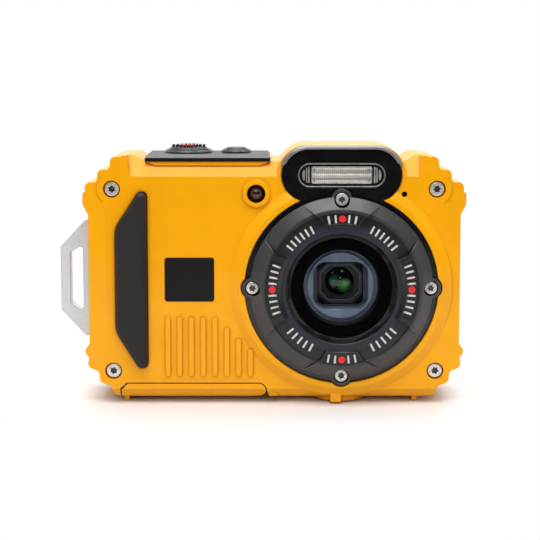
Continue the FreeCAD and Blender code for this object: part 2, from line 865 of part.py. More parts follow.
    tools.append(rod("socket_way", "z", (0, 0), (-1, 8), S.socket_radius + S.pin_fit))
    tools.append(
        rod("flange_way", "z", (0, 0), (-1, S.flange_thick), S.socket_flange + S.fit)
    )
    tools += door_notch()
    tools.append(
        prism(
            "seal_groove",
            "front",
            (PARTING - 0.7, PARTING + 1),
            octagon(0.6 - S.pin_fit, 0.3),
            octagon(1.5 + S.pin_fit, 0.6),
        )
    )
    shaped = cut("front_cut", fitted, *tools)
    return piece("front_casing", fuse("front_casing", shaped, hinge_lugs()))


def grip_outline(grow):
    west = S.grip_left - grow
    east = S.grip_right + grow
    high = S.grip_top + grow
    low = S.grip_low - grow
    return Outline(
        (east, low, 1.4),
        (east, high, 1.4),
        (east - 2.4, high, 1.2),
        (west, high - S.grip_slope - 1.2, 6.0),
        (west, low + S.grip_slope + 1.2, 6.0),
        (east - 2.4, low, 1.2),
    )


def door_notch():
    """The cuts that leave room for the battery door, its hinge and the mouths behind it."""
    axis = (S.hinge_x, S.hinge_height)
    room = S.door_half + S.running_gap
    back = S.door_back + S.running_gap
    left = S.door_left - S.running_gap
    slant = S.door_slant - 0.1
    notch = prism(
        "door_notch",
        "front",
        (FRONT - 3, back),
        Outline(
            (left, -1), (left, SHELF - slant), (left + slant, SHELF), (S.hinge_x, SHELF), (S.hinge_x, -1)
        ),
    )
    round_end = rod("hinge_room", "y", axis, (FRONT - 3, back), room)
    relief = prism(
        "hinge_relief",
        "front",
        (FRONT - 3, back),
        Outline(
            (S.hinge_x, S.hinge_height),
            (S.hinge_x + room, S.hinge_height),
            (S.hinge_x + room + 1.0, BOTTOM - 1),
            (S.hinge_x, BOTTOM - 1),
        ),
    )
    pin_way = rod(
        "pin_way", "y", axis, (FRONT + 3, S.door_back), S.pin_radius + S.pin_fit / 5
    )
    battery_mouth = box(
        "battery_mouth",
        (S.battery_left - 0.3, S.battery_left + S.battery_wide + 0.3),
        (-S.battery_front - 0.2, -S.battery_front + S.battery_thick + 0.3),
        (SHELF - 1, FLOOR + 1),
    )
    card_deep = (CARD_Y[0] - 0.1, CARD_Y[1] + 0.1)
    card_mouth = box("card_mouth", CARD_X, card_deep, (SHELF - 1, FLOOR + 1))
    usb_mouth = box(
        "usb_mouth",
        (USB[0][0] + 0.4, USB[0][1] - 0.4),
        (USB[1][0] + 0.4, USB[1][1] - 0.4),
        (SHELF - 1, FLOOR + 1),
    )
    latch_room = box("latch_room", (S.door_left - 3.6, S.door_left), (-4.3, 4.3), (-1, 4.4))
    return [notch, round_end, relief, pin_way, battery_mouth, card_mouth, usb_mouth, latch_room]


# The data socket stands in front of the battery.
USB = ((size(-45.0), size(-36.6)), (FRONT_IN + 0.2, FRONT_IN + 3.2), (FLOOR, FLOOR + 6.4))

# The card lies behind the battery, in the same holder.
CARD_MIDDLE = S.battery_left + S.battery_wide / 2
CARD_X = (CARD_MIDDLE - S.card_wide / 2 - 0.2, CARD_MIDDLE + S.card_wide / 2 + 0.2)
CARD_FRONT = -S.battery_front + S.battery_thick + 1.1
CARD_Y = (CARD_FRONT - 0.15, CARD_FRONT + S.card_thick + 0.15)


def make_rear_casing():
    """The flat rear shell with the openings for the screen and the keys."""
    shell = fuse(
        "rear_shell",
        prism("rear_core", "front", (PARTING, REAR), octagon(0, 0)),
        *ears("rear_ears", PARTING, REAR - 1.2),
    )
    cavity = prism(
        "rear_cavity",
        "front",
        (PARTING - 1, REAR_IN),
        octagon(S.wall + 0.6, 0.8),
    )
    hollow = cut("rear_hollow", shell, cavity)
    bosses = [
        rod("rear_boss_%d" % number, "y", spot, (PARTING, REAR_IN + 0.5), S.screw_boss)
        for number, spot in enumerate(screw_places())
    ]
    window_recess = block_at(
        "window_recess",
        S.screen_wide / 2 + S.fit,
        S.screen_tall / 2 + S.fit,
        (REAR - 1.0, REAR + 1),
    )
    view_opening = block_at(
        "view_opening", S.view_wide / 2 + 1.0, S.view_tall / 2 + 1.0, (REAR_IN - 1, REAR)
    )
    panel_room = block_at(
        "panel_room", S.panel_wide / 2 + S.fit, S.panel_tall / 2 + S.fit, (PARTING - 1, REAR_IN)
    )
    tools = [window_recess, view_opening, panel_room]
    shank_way = S.screw_shank + S.pin_fit
    for number, spot in enumerate(screw_places()):
        tools.append(rod("tapped_way_%d" % number, "y", spot, (PARTING - 1, REAR_IN), shank_way))
    for name, x, height, radius in KEYS:
        tools.append(rod(name + "_room", "y", (x, height), (REAR_IN - 1, REAR + 1), radius + 0.25))
    tools.append(
        box(
            "rocker_room",
            (S.pad_x - S.rocker_wide / 2 - 0.35, S.pad_x + S.rocker_wide / 2 + 0.35),
            (REAR - 1.2, REAR + 1),
            (ROCKER_HEIGHT - S.rocker_tall / 2 - 0.3, ROCKER_HEIGHT + S.rocker_tall / 2 + 0.3),
        )
    )
    tools.append(
        box(
            "rocker_post_room",
            (S.pad_x - 1.6, S.pad_x + 1.6),
            (REAR_IN - 1, REAR + 1),
            (ROCKER_HEIGHT - 1.5, ROCKER_HEIGHT + 1.5),
        )
    )
    tools += [
        slot(
            "speaker_slit_%d" % number,
            (REAR_IN - 1, REAR + 1),
            (SPEAKER[0] - 2.4 + number * 1.6, SPEAKER[1] - 1.8),
            (SPEAKER[0] - 2.4 + number * 1.6, SPEAKER[1] + 1.8),
            size(0.35),
        )
        for number in range(4)
    ]
    return piece("rear_casing", cut("rear_casing", fuse("rear_fitted", hollow, *bosses), *tools))


def block_at(name, half_wide, half_tall, along):
    """A block centred on the screen."""
    return box(
        name,
        (S.screen_mid - half_wide, S.screen_mid + half_wide),
        along,
        (S.screen_height - half_tall, S.screen_height + half_tall),
    )


SPEAKER = (S.pad_x + 13.6, FLOOR + 4.2)
KEYS = [
    ("record", S.pad_x + 12.6, ROCKER_HEIGHT, S.key_radius),
    ("playback", S.pad_x + 12.6, ROCKER_HEIGHT - 13.0, S.key_radius),
    ("pad", S.pad_x, S.pad_height, S.pad_radius),
    ("menu", S.pad_x - 4.6, S.pad_height - 15.0, S.key_radius),
    ("delete", S.pad_x + 5.0, S.pad_height - 15.0, S.key_radius),
]


def make_casing_seal():
    seal = prism(
        "casing_seal",
        "front",
        (PARTING - 0.7, PARTING),
        octagon(0.6, 0.3),
        octagon(1.5, 0.6),
    )
    return piece("casing_seal", seal)


def make_front_bezel():
    """The black surround that joins the lens ring's seat and the flash."""
    lens = (0, S.lens_height)
    front = -S.bezel_front
    back = -S.bezel_back
    plate = fuse(
        "bezel_plate",
        rod("bezel_disc", "y", lens, (front, back), S.bezel_radius),
        flash_slot("bezel_flash", (front, back), S.flash_lobe),
        *[
            rod("bezel_lug_%d" % number, "y", spot, (front, back), S.ring_lug + 0.3)
            for number, spot in enumerate(lug_places(S.ring_screw_circle))
        ],
    )
    tools = [rod("bezel_hole", "y", lens, (front - 1, back + 1), S.window_radius + 0.4)]
    tools.append(
        slot(
            "bezel_window",
            (front - 1, back + 1),
            (-S.flash_wide / 2 + S.flash_tall / 2, S.flash_height),
            (S.flash_wide / 2 - S.flash_tall / 2, S.flash_height),
            S.flash_tall / 2 + S.fit,
        )
    )
    tools += [
        rod("bezel_screw_way_%d" % number, "y", spot, (front - 1, back + 1), 0.8 + S.pin_fit)
        for number, spot in enumerate(lug_places(S.ring_screw_circle))
    ]
    return piece("front_bezel", cut("front_bezel", plate, *tools))


def ring_turned(name, front, inner, *crown):
    """One level of the lens ring: its outer slope from the rim to the crest, then its crown."""
    back = -S.bezel_front
    return turned(
        name,
        "y",
        (0, S.lens_height),
        (back, inner),
        (back, S.ring_radius),
        (-S.ring_rim, S.ring_radius),
        (-front, S.ring_crest, 0.4),
        *crown,
    )


def tongue(name, along, side, root, neck, outer):
    """A section above or below the lens that widens outwards in two steps."""
    middle = S.lens_height
    return prism(
        name,
        "front",
        along,
        Outline(
            (-root[0], middle + side * root[1]),
            (root[0], middle + side * root[1]),
            (neck[0], middle + side * neck[1]),
            (outer[0], middle + side * outer[1]),
            (-outer[0], middle + side * outer[1]),
            (-neck[0], middle + side * neck[1]),
        ),
    )


def cheek(name, along, side, root, neck, outer):
    """A section left or right of the lens that widens outwards in two steps."""
    middle = S.lens_height
    return prism(
        name,
        "front",
        along,
        Outline(
            (side * root[1], middle - root[0]),
            (side * root[1], middle + root[0]),
            (side * neck[1], middle + neck[0]),
            (side * outer[1], middle + outer[0]),
            (side * outer[1], middle - outer[0]),
            (side * neck[1], middle - neck[0]),
        ),
    )


def ring_sections(name, along, shapes):
    """The four sections: half-widths and distances from the lens axis for each kind."""
    narrow, broad = shapes
    return fuse(
        name,
        tongue(name + "_upper", along, 1, *narrow),
        tongue(name + "_lower", along, -1, *narrow),
        cheek(name + "_left", along, -1, *broad),
        cheek(name + "_right", along, 1, *broad),
    )


def make_lens_ring():
    """The ring that clamps the window: four raised sections with sunk bands for their ticks."""
    lens = (0, S.lens_height)
    back = -S.bezel_front
    lip = -S.window_front
    floor = -S.ring_low_front + S.band_deep
    base = ring_turned(
        "ring_base",
        S.ring_low_front,
        S.window_radius + S.fit,
        (-S.ring_low_front, S.band_outer),
        (floor, S.band_outer - 0.2),
        (floor, S.cone_outer),
        (lip - 0.15, S.window_clear + 0.3),
        (lip, S.window_clear),
        (lip, S.window_radius + S.fit),
    )
    crown = ring_turned(
        "ring_crown",
        S.ring_front,
        S.window_radius + 0.6,
        (-S.ring_front, S.window_radius + 1.6),
        (-S.ring_front + 0.7, S.window_radius + 0.6),
    )
    along = (-S.ring_front - 1, back)
    sections = ring_sections("ring_sections", along, RING_SECTIONS)
    raised = common("ring_raised", crown, sections)
    band = turned(
        "ring_band",
        "y",
        lens,
        (-S.ring_front - 1, S.band_inner),
        (-S.ring_front - 1, S.band_outer),
        (-S.ring_front + S.band_deep, S.band_outer),
        (-S.ring_front + S.band_deep, S.band_inner),
    )
    bands = common("ring_bands", band, ring_sections("band_sections", along, BAND_SECTIONS))
    places = list(enumerate(lug_places(S.ring_screw_circle)))
    lugs = [
        rod("ring_lug_%d" % number, "y", spot, (-S.ring_rim, back), S.ring_lug)
        for number, spot in places
    ]
    seat = back - S.ring_lug_floor
    pockets = [
        rod("ring_pocket_%d" % number, "y", spot, (-S.ring_front - 1, seat), S.ring_pocket)
        for number, spot in places
    ]
    shank_way = RING_SHANK + S.pin_fit
    ways = [
        rod("ring_way_%d" % number, "y", spot, (-S.ring_front - 1, back + 1), shank_way)
        for number, spot in places
    ]
    solid = fuse("ring_solid", base, raised, *lugs)
    return piece("lens_ring", cut("lens_ring", solid, bands, *pockets, *ways))


def screw(name, axis, spot, head, shank, seat, rise, end):
    """A screw with a flat head on a seat; rise is the head's height away from the seat."""
    low, high = (seat - rise, seat) if rise.value > 0 else (seat, seat - rise)
    start, stop = (seat, end) if end.value > seat.value else (end, seat)
    return fuse(
        name,
        rod(name + "_head", axis, spot, (low, high), head),
        rod(name + "_shank", axis, spot, (start, stop), shank),
    )


def make_screws():
    corner = [
        screw(
            "corner_screw_%d" % number,
            "y",
            spot,
            S.screw_head,
            S.screw_shank,
            FRONT + S.screw_sunk + 1.4,
            size(1.4),
            REAR_IN - 0.6,
        )
        for number, spot in enumerate(screw_places())
    ]
    piece("corner_screws", compound("corner_screws", corner))
    seat = -S.bezel_front - S.ring_lug_floor
    ring = [
        screw(
            "ring_screw_%d" % number,
            "y",
            spot,
            size(1.7),
            size(0.8),
            seat,
            size(0.9),
            FRONT_IN - 0.6,
        )
        for number, spot in enumerate(lug_places(S.ring_screw_circle))
    ]
    piece("lens_ring_screws", compound("lens_ring_screws", ring))
    lug = [
        screw(
            "lug_screw_%d" % number,
            "x",
            (S.lug_y, height),
            size(1.3),
            size(0.8),
            LEFT - 0.9,
            size(0.7),
            LEFT + S.wall,
        )
        for number, height in enumerate((S.lug_low + 4, S.lug_top - 4))
    ]
    piece("strap_lug_screws", compound("strap_lug_screws", lug))


def compound(name, items):
    item = DOC.addObject("Part::Compound", name)
    item.Links = items
    return item


def make_window():
    lens = (0, S.lens_height)
    glass = turned(
        "lens_window",
        "y",
        lens,
        (-S.window_front + 0.02, size(0)),
        (-S.window_front + S.window_thick, size(0)),
        (-S.window_front + S.window_thick, S.window_radius),
        (-S.window_front + 0.02, S.window_radius),
    )
    piece("lens_window", glass)
    back = -S.bezel_back
    gasket = turned(
        "window_seal",
        "y",
        lens,
        (-S.window_front + S.window_thick, S.lens_bore + 0.3),
        (-S.window_front + S.window_thick, S.window_radius),
        (back, S.window_radius),
        (back, S.lens_bore + 0.3),
    )
    piece("window_seal", gasket)
    mask_back = FRONT_IN - 0.1
    mask = turned(
        "window_mask",
        "y",
        lens,
        (mask_back - S.mask_thick, S.mask_radius),
        (mask_back, S.mask_radius - 0.6),
        (mask_back, S.lens_bore - S.fit),
        (mask_back - S.mask_thick, S.lens_bore - S.fit),
    )
    piece("window_mask", mask)


def make_flash():
    """The flash's window, reflector, tube and capacitor."""
    half = S.flash_wide / 2 - S.flash_tall / 2
    window = slot(
        "flash_window",
        (-S.bezel_front + 0.05, -S.bezel_back),
        (-half, S.flash_height),
        (half, S.flash_height),
        S.flash_tall / 2,
    )
    piece("flash_window", window)
    wide = S.reflector_wide / 2
    tall = S.reflector_tall / 2
    mouth = -S.bezel_back + S.fit
    block = box(
        "reflector_block",
        (-wide - 0.8, wide + 0.8),
        (mouth, mouth + 5.6),
        (S.flash_height - tall - 0.6, S.flash_height + tall + 0.6),
    )
    trough = prism(
        "reflector_trough",
        "side",
        (-wide, wide),
        Outline(
            (mouth - 1, S.flash_height - tall),
            (mouth + 1.2, S.flash_height - tall),
            (mouth + 4.6, S.flash_height - 1.3, 0.8),
            (mouth + 4.6, S.flash_height + 1.3, 0.8),
            (mouth + 1.2, S.flash_height + tall),
            (mouth - 1, S.flash_height + tall),
        ),
    )
    tube_y = mouth + 3.4
    tube_way = rod(
        "tube_way", "x", (tube_y, S.flash_height), (-wide - 2, wide + 2), 0.95 + S.pin_fit
    )
    piece("flash_reflector", cut("flash_reflector", block, trough, tube_way))
    tube = fuse(
        "flash_tube",
        rod("tube_glass", "x", (tube_y, S.flash_height), (-wide - 0.4, wide + 0.4), 0.95),
        rod("tube_cap_left", "x", (tube_y, S.flash_height), (-wide - 1.6, -wide - 0.4), 0.7),
        rod("tube_cap_right", "x", (tube_y, S.flash_height), (wide + 0.4, wide + 1.6), 0.7),
    )
    piece("flash_tube", tube)
    capacitor = fuse(
        "flash_capacitor",
        rod("capacitor_can", "x", (-1.0, 17.3), (9.4, 29.4), 4.2),
        rod("capacitor_end", "x", (-1.0, 17.3), (8.8, 9.4), 3.8),
    )
    piece("flash_capacitor", capacitor)


def make_lamp_and_microphone():
    spot = (S.lamp_x, LAMP_HEIGHT)
    window = rod("lamp_disc", "y", spot, (FRONT + 0.1, FRONT + 1.2), S.lamp_radius)
    piece("focus_lamp_window", window)
    led = fuse(
        "focus_led",
        rod("led_dome", "y", spot, (FRONT + 1.5, FRONT_IN + 0.6), 1.3),
        rod("led_base", "y", spot, (FRONT_IN + 0.1, FRONT_IN + 1.6), S.lamp_radius + 0.8),
    )
    piece("focus_led", led)
    capsule = rod(
        "microphone", "y", (S.mic_x, MIC_HEIGHT), (FRONT_IN, FRONT_IN + 1.8), S.mic_radius
    )
    piece("microphone", capsule)


def make_grip():
    """The crowned rubber pad in the recess on the left of the front."""
    seat = FRONT + S.grip_seat
    crest = seat - S.grip_thick
    pad = prism("grip_pad", "front", (crest, seat), grip_outline(0))
    soften(pad, "grip_round", 1.5, lambda edge: at_y(edge, crest))
    piece("grip_pad", pad)


def make_top():
    """The top plate, the two collars, the two buttons and the boots round their stems."""
    high = TOP + S.plate_thick
    front = -S.plate_front
    back = S.plate_back
    plate = prism(
        "top_plate_block",
        "side",
        (S.plate_left, S.plate_right),
        Outline(
            (front, TOP),
            (front, TOP + 1.0),
            (front + 1.4, high, 0.5),
            (back - 1.4, high, 0.5),
            (back, TOP + 1.0),
            (back, TOP),
        ),
    )
    tools = []
    for name, x, radius in (
        ("shutter", S.shutter_x, S.shutter_collar),
        ("power", S.power_x, S.power_collar),
    ):
        tools.append(
            rod(name + "_collar_way", "z", (x, S.keys_y), (TOP - 1, high + 1), radius + S.fit)
        )
    ends = [
        prism(
            "plate_end_" + side,
            "front",
            (front - 1, back + 1),
            Outline((edge, TOP + 1.1), (edge + turn * 0.8, high + 0.1), (edge, high + 0.1)),
        )
        for side, edge, turn in (("left", S.plate_left, 1), ("right", S.plate_right, -1))
    ]
    piece("top_plate", cut("top_plate", plate, *tools, *ends))
    boots = []
    for name, x, outer, button, top_at, travel, dished in (
        (
            "shutter",
            S.shutter_x,
            S.shutter_collar,
            S.shutter_radius,
            S.shutter_top,
            S.shutter_travel,
            True,
        ),
        ("power", S.power_x, S.power_collar, S.power_radius, S.power_top, S.power_travel, False),
    ):
        spot = (x, S.keys_y)
        rim = TOP + S.collar_rise
        inner = button + S.running_gap / 2
        collar = turned(
            name + "_collar",
            "z",
            spot,
            (TOP, inner),
            (TOP, outer),
            (rim - 0.5, outer),
            (rim, outer - 0.5),
            (rim, inner + 0.3),
            (rim - 0.3, inner),
        )
        piece(name + "_collar", collar)
        under = TOP + travel + S.running_gap
        # The cap's crown is a low dome.
        cap = turned(
            name + "_cap",
            "z",
            spot,
            (TOP - S.wall - 2.4, size(0)),
            (TOP - S.wall - 2.4, S.stem_radius),
            (under, S.stem_radius),
            (under, button),
            (top_at - 0.6, button),
            (top_at, button - 0.6),
            (top_at, size(0)),
        )
        if dished:
            studs = []
            reach = (button.value - 1.0) / S.stud_pitch.value
            for row in range(-4, 5):
                for column in range(-4, 5):
                    if math.hypot(row, column) <= reach:
                        studs.append(
                            stud(
                                "stud_%d_%d" % (row + 4, column + 4),
                                (x + S.stud_pitch * column, S.keys_y + S.stud_pitch * row),
                                (top_at - 0.4, top_at + S.stud_rise),
                            )
                        )
            cap = fuse(name + "_button", cap, *studs)
        piece(name + "_button", cap)
        boots.append(
            turned(
                name + "_boot",
                "z",
                spot,
                (TOP - S.wall - 1.2, S.stem_radius + S.pin_fit),
                (TOP - S.wall - 1.2, S.stem_radius + 1.0),
                (TOP - S.wall - 0.02, S.stem_radius + 2.2),
                (TOP - S.wall - 0.02, S.stem_radius + S.pin_fit),
            )
        )
    piece("top_button_seals", compound("top_button_seals", boots))
    switch = [
        box(
            name,
            (x - 2.5, x + 2.5),
            (S.keys_y - 2.5, S.keys_y + 2.5),
            (TOP - S.wall - 5.0, TOP - S.wall - 2.4 - travel - 0.15),
        )
        for name, x, travel in (
            ("shutter_switch", S.shutter_x, S.shutter_travel),
            ("power_switch", S.power_x, S.power_travel),
        )
    ]
    board = box(
        "switch_board_base",
        (S.shutter_x - 6, S.power_x + 5),
        (S.keys_y - 5, S.keys_y + 5),
        (TOP - S.wall - 6.0, TOP - S.wall - 5.0),
    )
    piece("switch_board", fuse("switch_board", board, *switch))


def make_strap_lug():
    out = LEFT - S.lug_out
    slot_out = out + S.lug_leg
    slot_in = slot_out + S.slot_wide
    root = LEFT + 0.5
    lug = prism(
        "strap_lug",
        "front",
        (S.lug_y - S.lug_thick / 2, S.lug_y + S.lug_thick / 2),
        Outline(
            (root, S.lug_low),
            (root, S.lug_top),
            (slot_in + 0.6, S.lug_top, 1.0),
            (out, S.lug_top - S.lug_slope, 1.6),
            (out, S.lug_low + S.lug_slope, 1.6),
            (slot_in + 0.6, S.lug_low, 1.0),
        ),
        Outline(
            (slot_in, S.lug_low + S.lug_slope - 0.6, 0.8),
            (slot_in, S.lug_top - S.lug_slope + 0.6, 0.8),
            (slot_out, S.lug_top - S.lug_slope - 1.6, 0.8),
            (slot_out, S.lug_low + S.lug_slope + 1.6, 0.8),
        ),
    )
    ways = []
    for number, height in enumerate((S.lug_low + 4, S.lug_top - 4)):
        ways.append(
            rod(
                "lug_way_%d" % number,
                "x",
                (S.lug_y, height),
                (LEFT - S.lug_out, LEFT + 2),
                0.8 + S.pin_fit,
            )
        )
        sink = (LEFT - S.lug_out, LEFT - 0.9)
        ways.append(rod("lug_sink_%d" % number, "x", (S.lug_y, height), sink, 1.45))
    piece("strap_lug", cut("strap_lug", lug, *ways))


def make_tripod_socket():
    top = S.socket_deep + 1.5
    socket = turned(
        "tripod_socket",
        "z",
        (size(0), size(0)),
        (size(0), S.socket_bore),
        (size(0), S.socket_flange),
        (S.flange_thick, S.socket_flange),
        (S.flange_thick, S.socket_radius),
        (top, S.socket_radius),
        (top, size(0)),
        (S.socket_deep, size(0)),
        (S.socket_deep, S.socket_bore),
    )
    piece("tripod_socket", socket)


LUGS_Y = ((-6.2, -3.8), (3.8, 6.2))

# Half-width and distance from the lens axis at a section's root, at its neck and past the rim.
RING_SECTIONS = (
    ((4.4, 16.9), (5.8, 19.1), (14.4, 25.3)),
    ((7.3, 13.0), (8.9, 17.1), (19.2, 25.6)),
)
BAND_SECTIONS = (
    ((3.9, 17.3), (5.2, 19.2), (7.2, 21.6)),
    ((5.2, 12.0), (7.9, 18.1), (10.4, 24.0)),
)
RING_SHANK = size(0.8)


def make_door():
    """The battery door with its rolled hinge end, its pin, seal and latch."""
    axis = (S.hinge_x, S.hinge_height)
    slab = prism(
        "door_slab",
        "front",
        (FRONT, S.door_back),
        Outline(
            (S.door_left, DOOR_LOW),
            (S.door_left, DOOR_TOP - S.door_slant),
            (S.door_left + S.door_slant, DOOR_TOP),
            (S.hinge_x, DOOR_TOP),
            (S.hinge_x, DOOR_LOW),
        ),
    )
    knuckle = rod("door_knuckle", "y", axis, (FRONT, S.door_back), S.door_half)
    deep = FRONT + S.bevel_deep
    past = FRONT - 1
    slope = S.bevel_low / S.bevel_deep
    bevel = prism(
        "door_bevel",
        "side",
        (S.door_left - 1, S.hinge_x + 3),
        Outline(
            (past, BOTTOM - 1),
            (past, BOTTOM + S.bevel_low + slope),
            (deep, BOTTOM),
            (deep, BOTTOM - 1),
        ),
    )
    foot = box("door_foot", (-59.4, -58.0), (-6.0, 7.0), (0, BOTTOM + 0.5))
    tools = [bevel, rod("door_pin_way", "y", axis, (FRONT + 3, 12), S.pin_radius + S.pin_fit)]
    for number, (low, high) in enumerate(LUGS_Y):
        room = S.running_gap
        tools.append(
            rod(
                "lug_room_%d" % number,
                "y",
                axis,
                (low - room, high + room),
                S.door_half + S.running_gap + 0.3,
            )
        )
    ring = gasket_ring("door_seal_way", (DOOR_TOP - 0.7, DOOR_TOP + 1), 0.0)
    tools.append(ring)
    track = (S.door_left - 1, S.door_left + 11.4)
    tools.append(box("latch_track", track, (-3.3, 3.3), (BOTTOM - 1, BOTTOM + 1.3)))
    solid = fuse("door_solid", slab, knuckle, foot)
    piece("battery_door", cut("battery_door", solid, *tools))
    seal = gasket_ring("door_seal", (DOOR_TOP - 0.7, DOOR_TOP + 0.15), S.pin_fit)
    piece("door_seal", seal)
    # The latch slides in the door's underside; its tip lies in an open notch of the casing.
    latch = fuse(
        "latch_body",
        box(
            "latch_slab",
            (S.door_left - 2.4, S.door_left + 8.2),
            (-3.0, 3.0),
            (BOTTOM + 0.3, BOTTOM + 1.28),
        ),
        *[
            box(
                "latch_ridge_%d" % number,
                (S.door_left + 2.0 + number * 1.6, S.door_left + 2.8 + number * 1.6),
                (-2.6, 2.6),
                (BOTTOM - 0.2, BOTTOM + 0.4),
            )
            for number in range(4)
        ],
    )
    piece("door_latch", latch)
    piece(
        "door_hinge_pin",
        rod("door_hinge_pin", "y", axis, (FRONT + 3.2, S.door_back - 0.1), S.pin_radius),
    )


def gasket_ring(name, along, shrink):
    """A square-cornered ring between the door and the mouths in the casing's floor."""
    west = S.battery_left - 0.9
    east = S.battery_left + S.battery_wide + 0.7
    front = FRONT + 1.5
    back = CARD_Y[1] + 0.15
    wide = 0.5
    outer = Outline(
        (west - wide + shrink, front - wide + shrink),
        (west - wide + shrink, back + wide - shrink),
        (east + wide - shrink, back + wide - shrink),
        (east + wide - shrink, front - wide + shrink),
    )
    inner = Outline(
        (west - shrink, front - shrink),
        (west - shrink, back + shrink),
        (east + shrink, back + shrink),
        (east + shrink, front - shrink),
    )
    return prism(name, "top", along, outer, inner)


def hinge_lugs():
    """The casing's lugs that carry the door's pin."""
    parts = []
    for number, (low, high) in enumerate(LUGS_Y):
        parts.append(
            rod(
                "hinge_lug_%d" % number,
                "y",
                (S.hinge_x, S.hinge_height),
                (low, high),
                S.door_half,
            )
        )
        parts.append(
            box(
                "hinge_web_%d" % number,
                (S.hinge_x - 1.2, S.hinge_x + 1.2),
                (low, high),
                (S.hinge_height, FLOOR),
            )
        )
    ways = rod(
        "lug_pin_way",
        "y",
        (S.hinge_x, S.hinge_height),
        (FRONT, PARTING),
        S.pin_radius + S.pin_fit / 5,
    )
    return cut("hinge_lugs", fuse("hinge_lug_blanks", *parts), ways)


def make_power():
    """The battery, the memory card, their holder and the contacts."""
    west = S.battery_left
    east = west + S.battery_wide
    front = -S.battery_front
    back = front + S.battery_thick
    low = FLOOR + 0.2
    battery = box("battery", (west, east), (front, back), (low, low + S.battery_tall))
    piece("battery", battery)
    holder_low = FLOOR
    holder_top = low + S.battery_tall + 2.4
    blank = box(
        "holder_blank",
        (west - S.holder_wall - 0.2, east + S.holder_wall + 0.2),
        (front - S.holder_wall - 0.2, CARD_Y[1] + 0.6),
        (holder_low, holder_top),
    )
    battery_room = box(
        "battery_room",
        (west - 0.2, east + 0.2),
        (front - 0.15, back + 0.15),
        (holder_low - 1, low + S.battery_tall + 1.0),
    )
    card_room = box("card_room", CARD_X, CARD_Y, (holder_low - 1, low + S.card_tall + 6.0))
    piece("battery_holder", cut("battery_holder", blank, battery_room, card_room))
    card = prism(
        "memory_card",
        "front",
        (CARD_FRONT, CARD_FRONT + S.card_thick),
        Outline(
            (CARD_MIDDLE - S.card_wide / 2, low),
            (CARD_MIDDLE - S.card_wide / 2, low + S.card_tall - 3),
            (CARD_MIDDLE - S.card_wide / 2 + 3, low + S.card_tall),
            (CARD_MIDDLE + S.card_wide / 2, low + S.card_tall),
            (CARD_MIDDLE + S.card_wide / 2, low),
        ),
    )
    piece("memory_card", card)
    socket = box(
        "card_socket",
        (CARD_X[0] + 0.2, CARD_X[1] - 0.2),
        (CARD_Y[0] + 0.1, CARD_Y[1] - 0.1),
        (low + S.card_tall + 0.2, low + S.card_tall + 5.9),
    )
    piece("card_socket", socket)
    contacts = fuse(
        "contact_strip",
        box(
            "contact_base",
            (west + 4, west + 18),
            (front + 1, back - 1),
            (low + S.battery_tall + 0.5, low + S.battery_tall + 1.0),
        ),
        *[
            box(
                "contact_%d" % number,
                (west + 5 + number * 4, west + 7 + number * 4),
                (front + 2, back - 2),
                (low + S.battery_tall + 0.1, low + S.battery_tall + 0.6),
            )
            for number in range(3)
        ],
    )
    piece("battery_contacts", contacts)


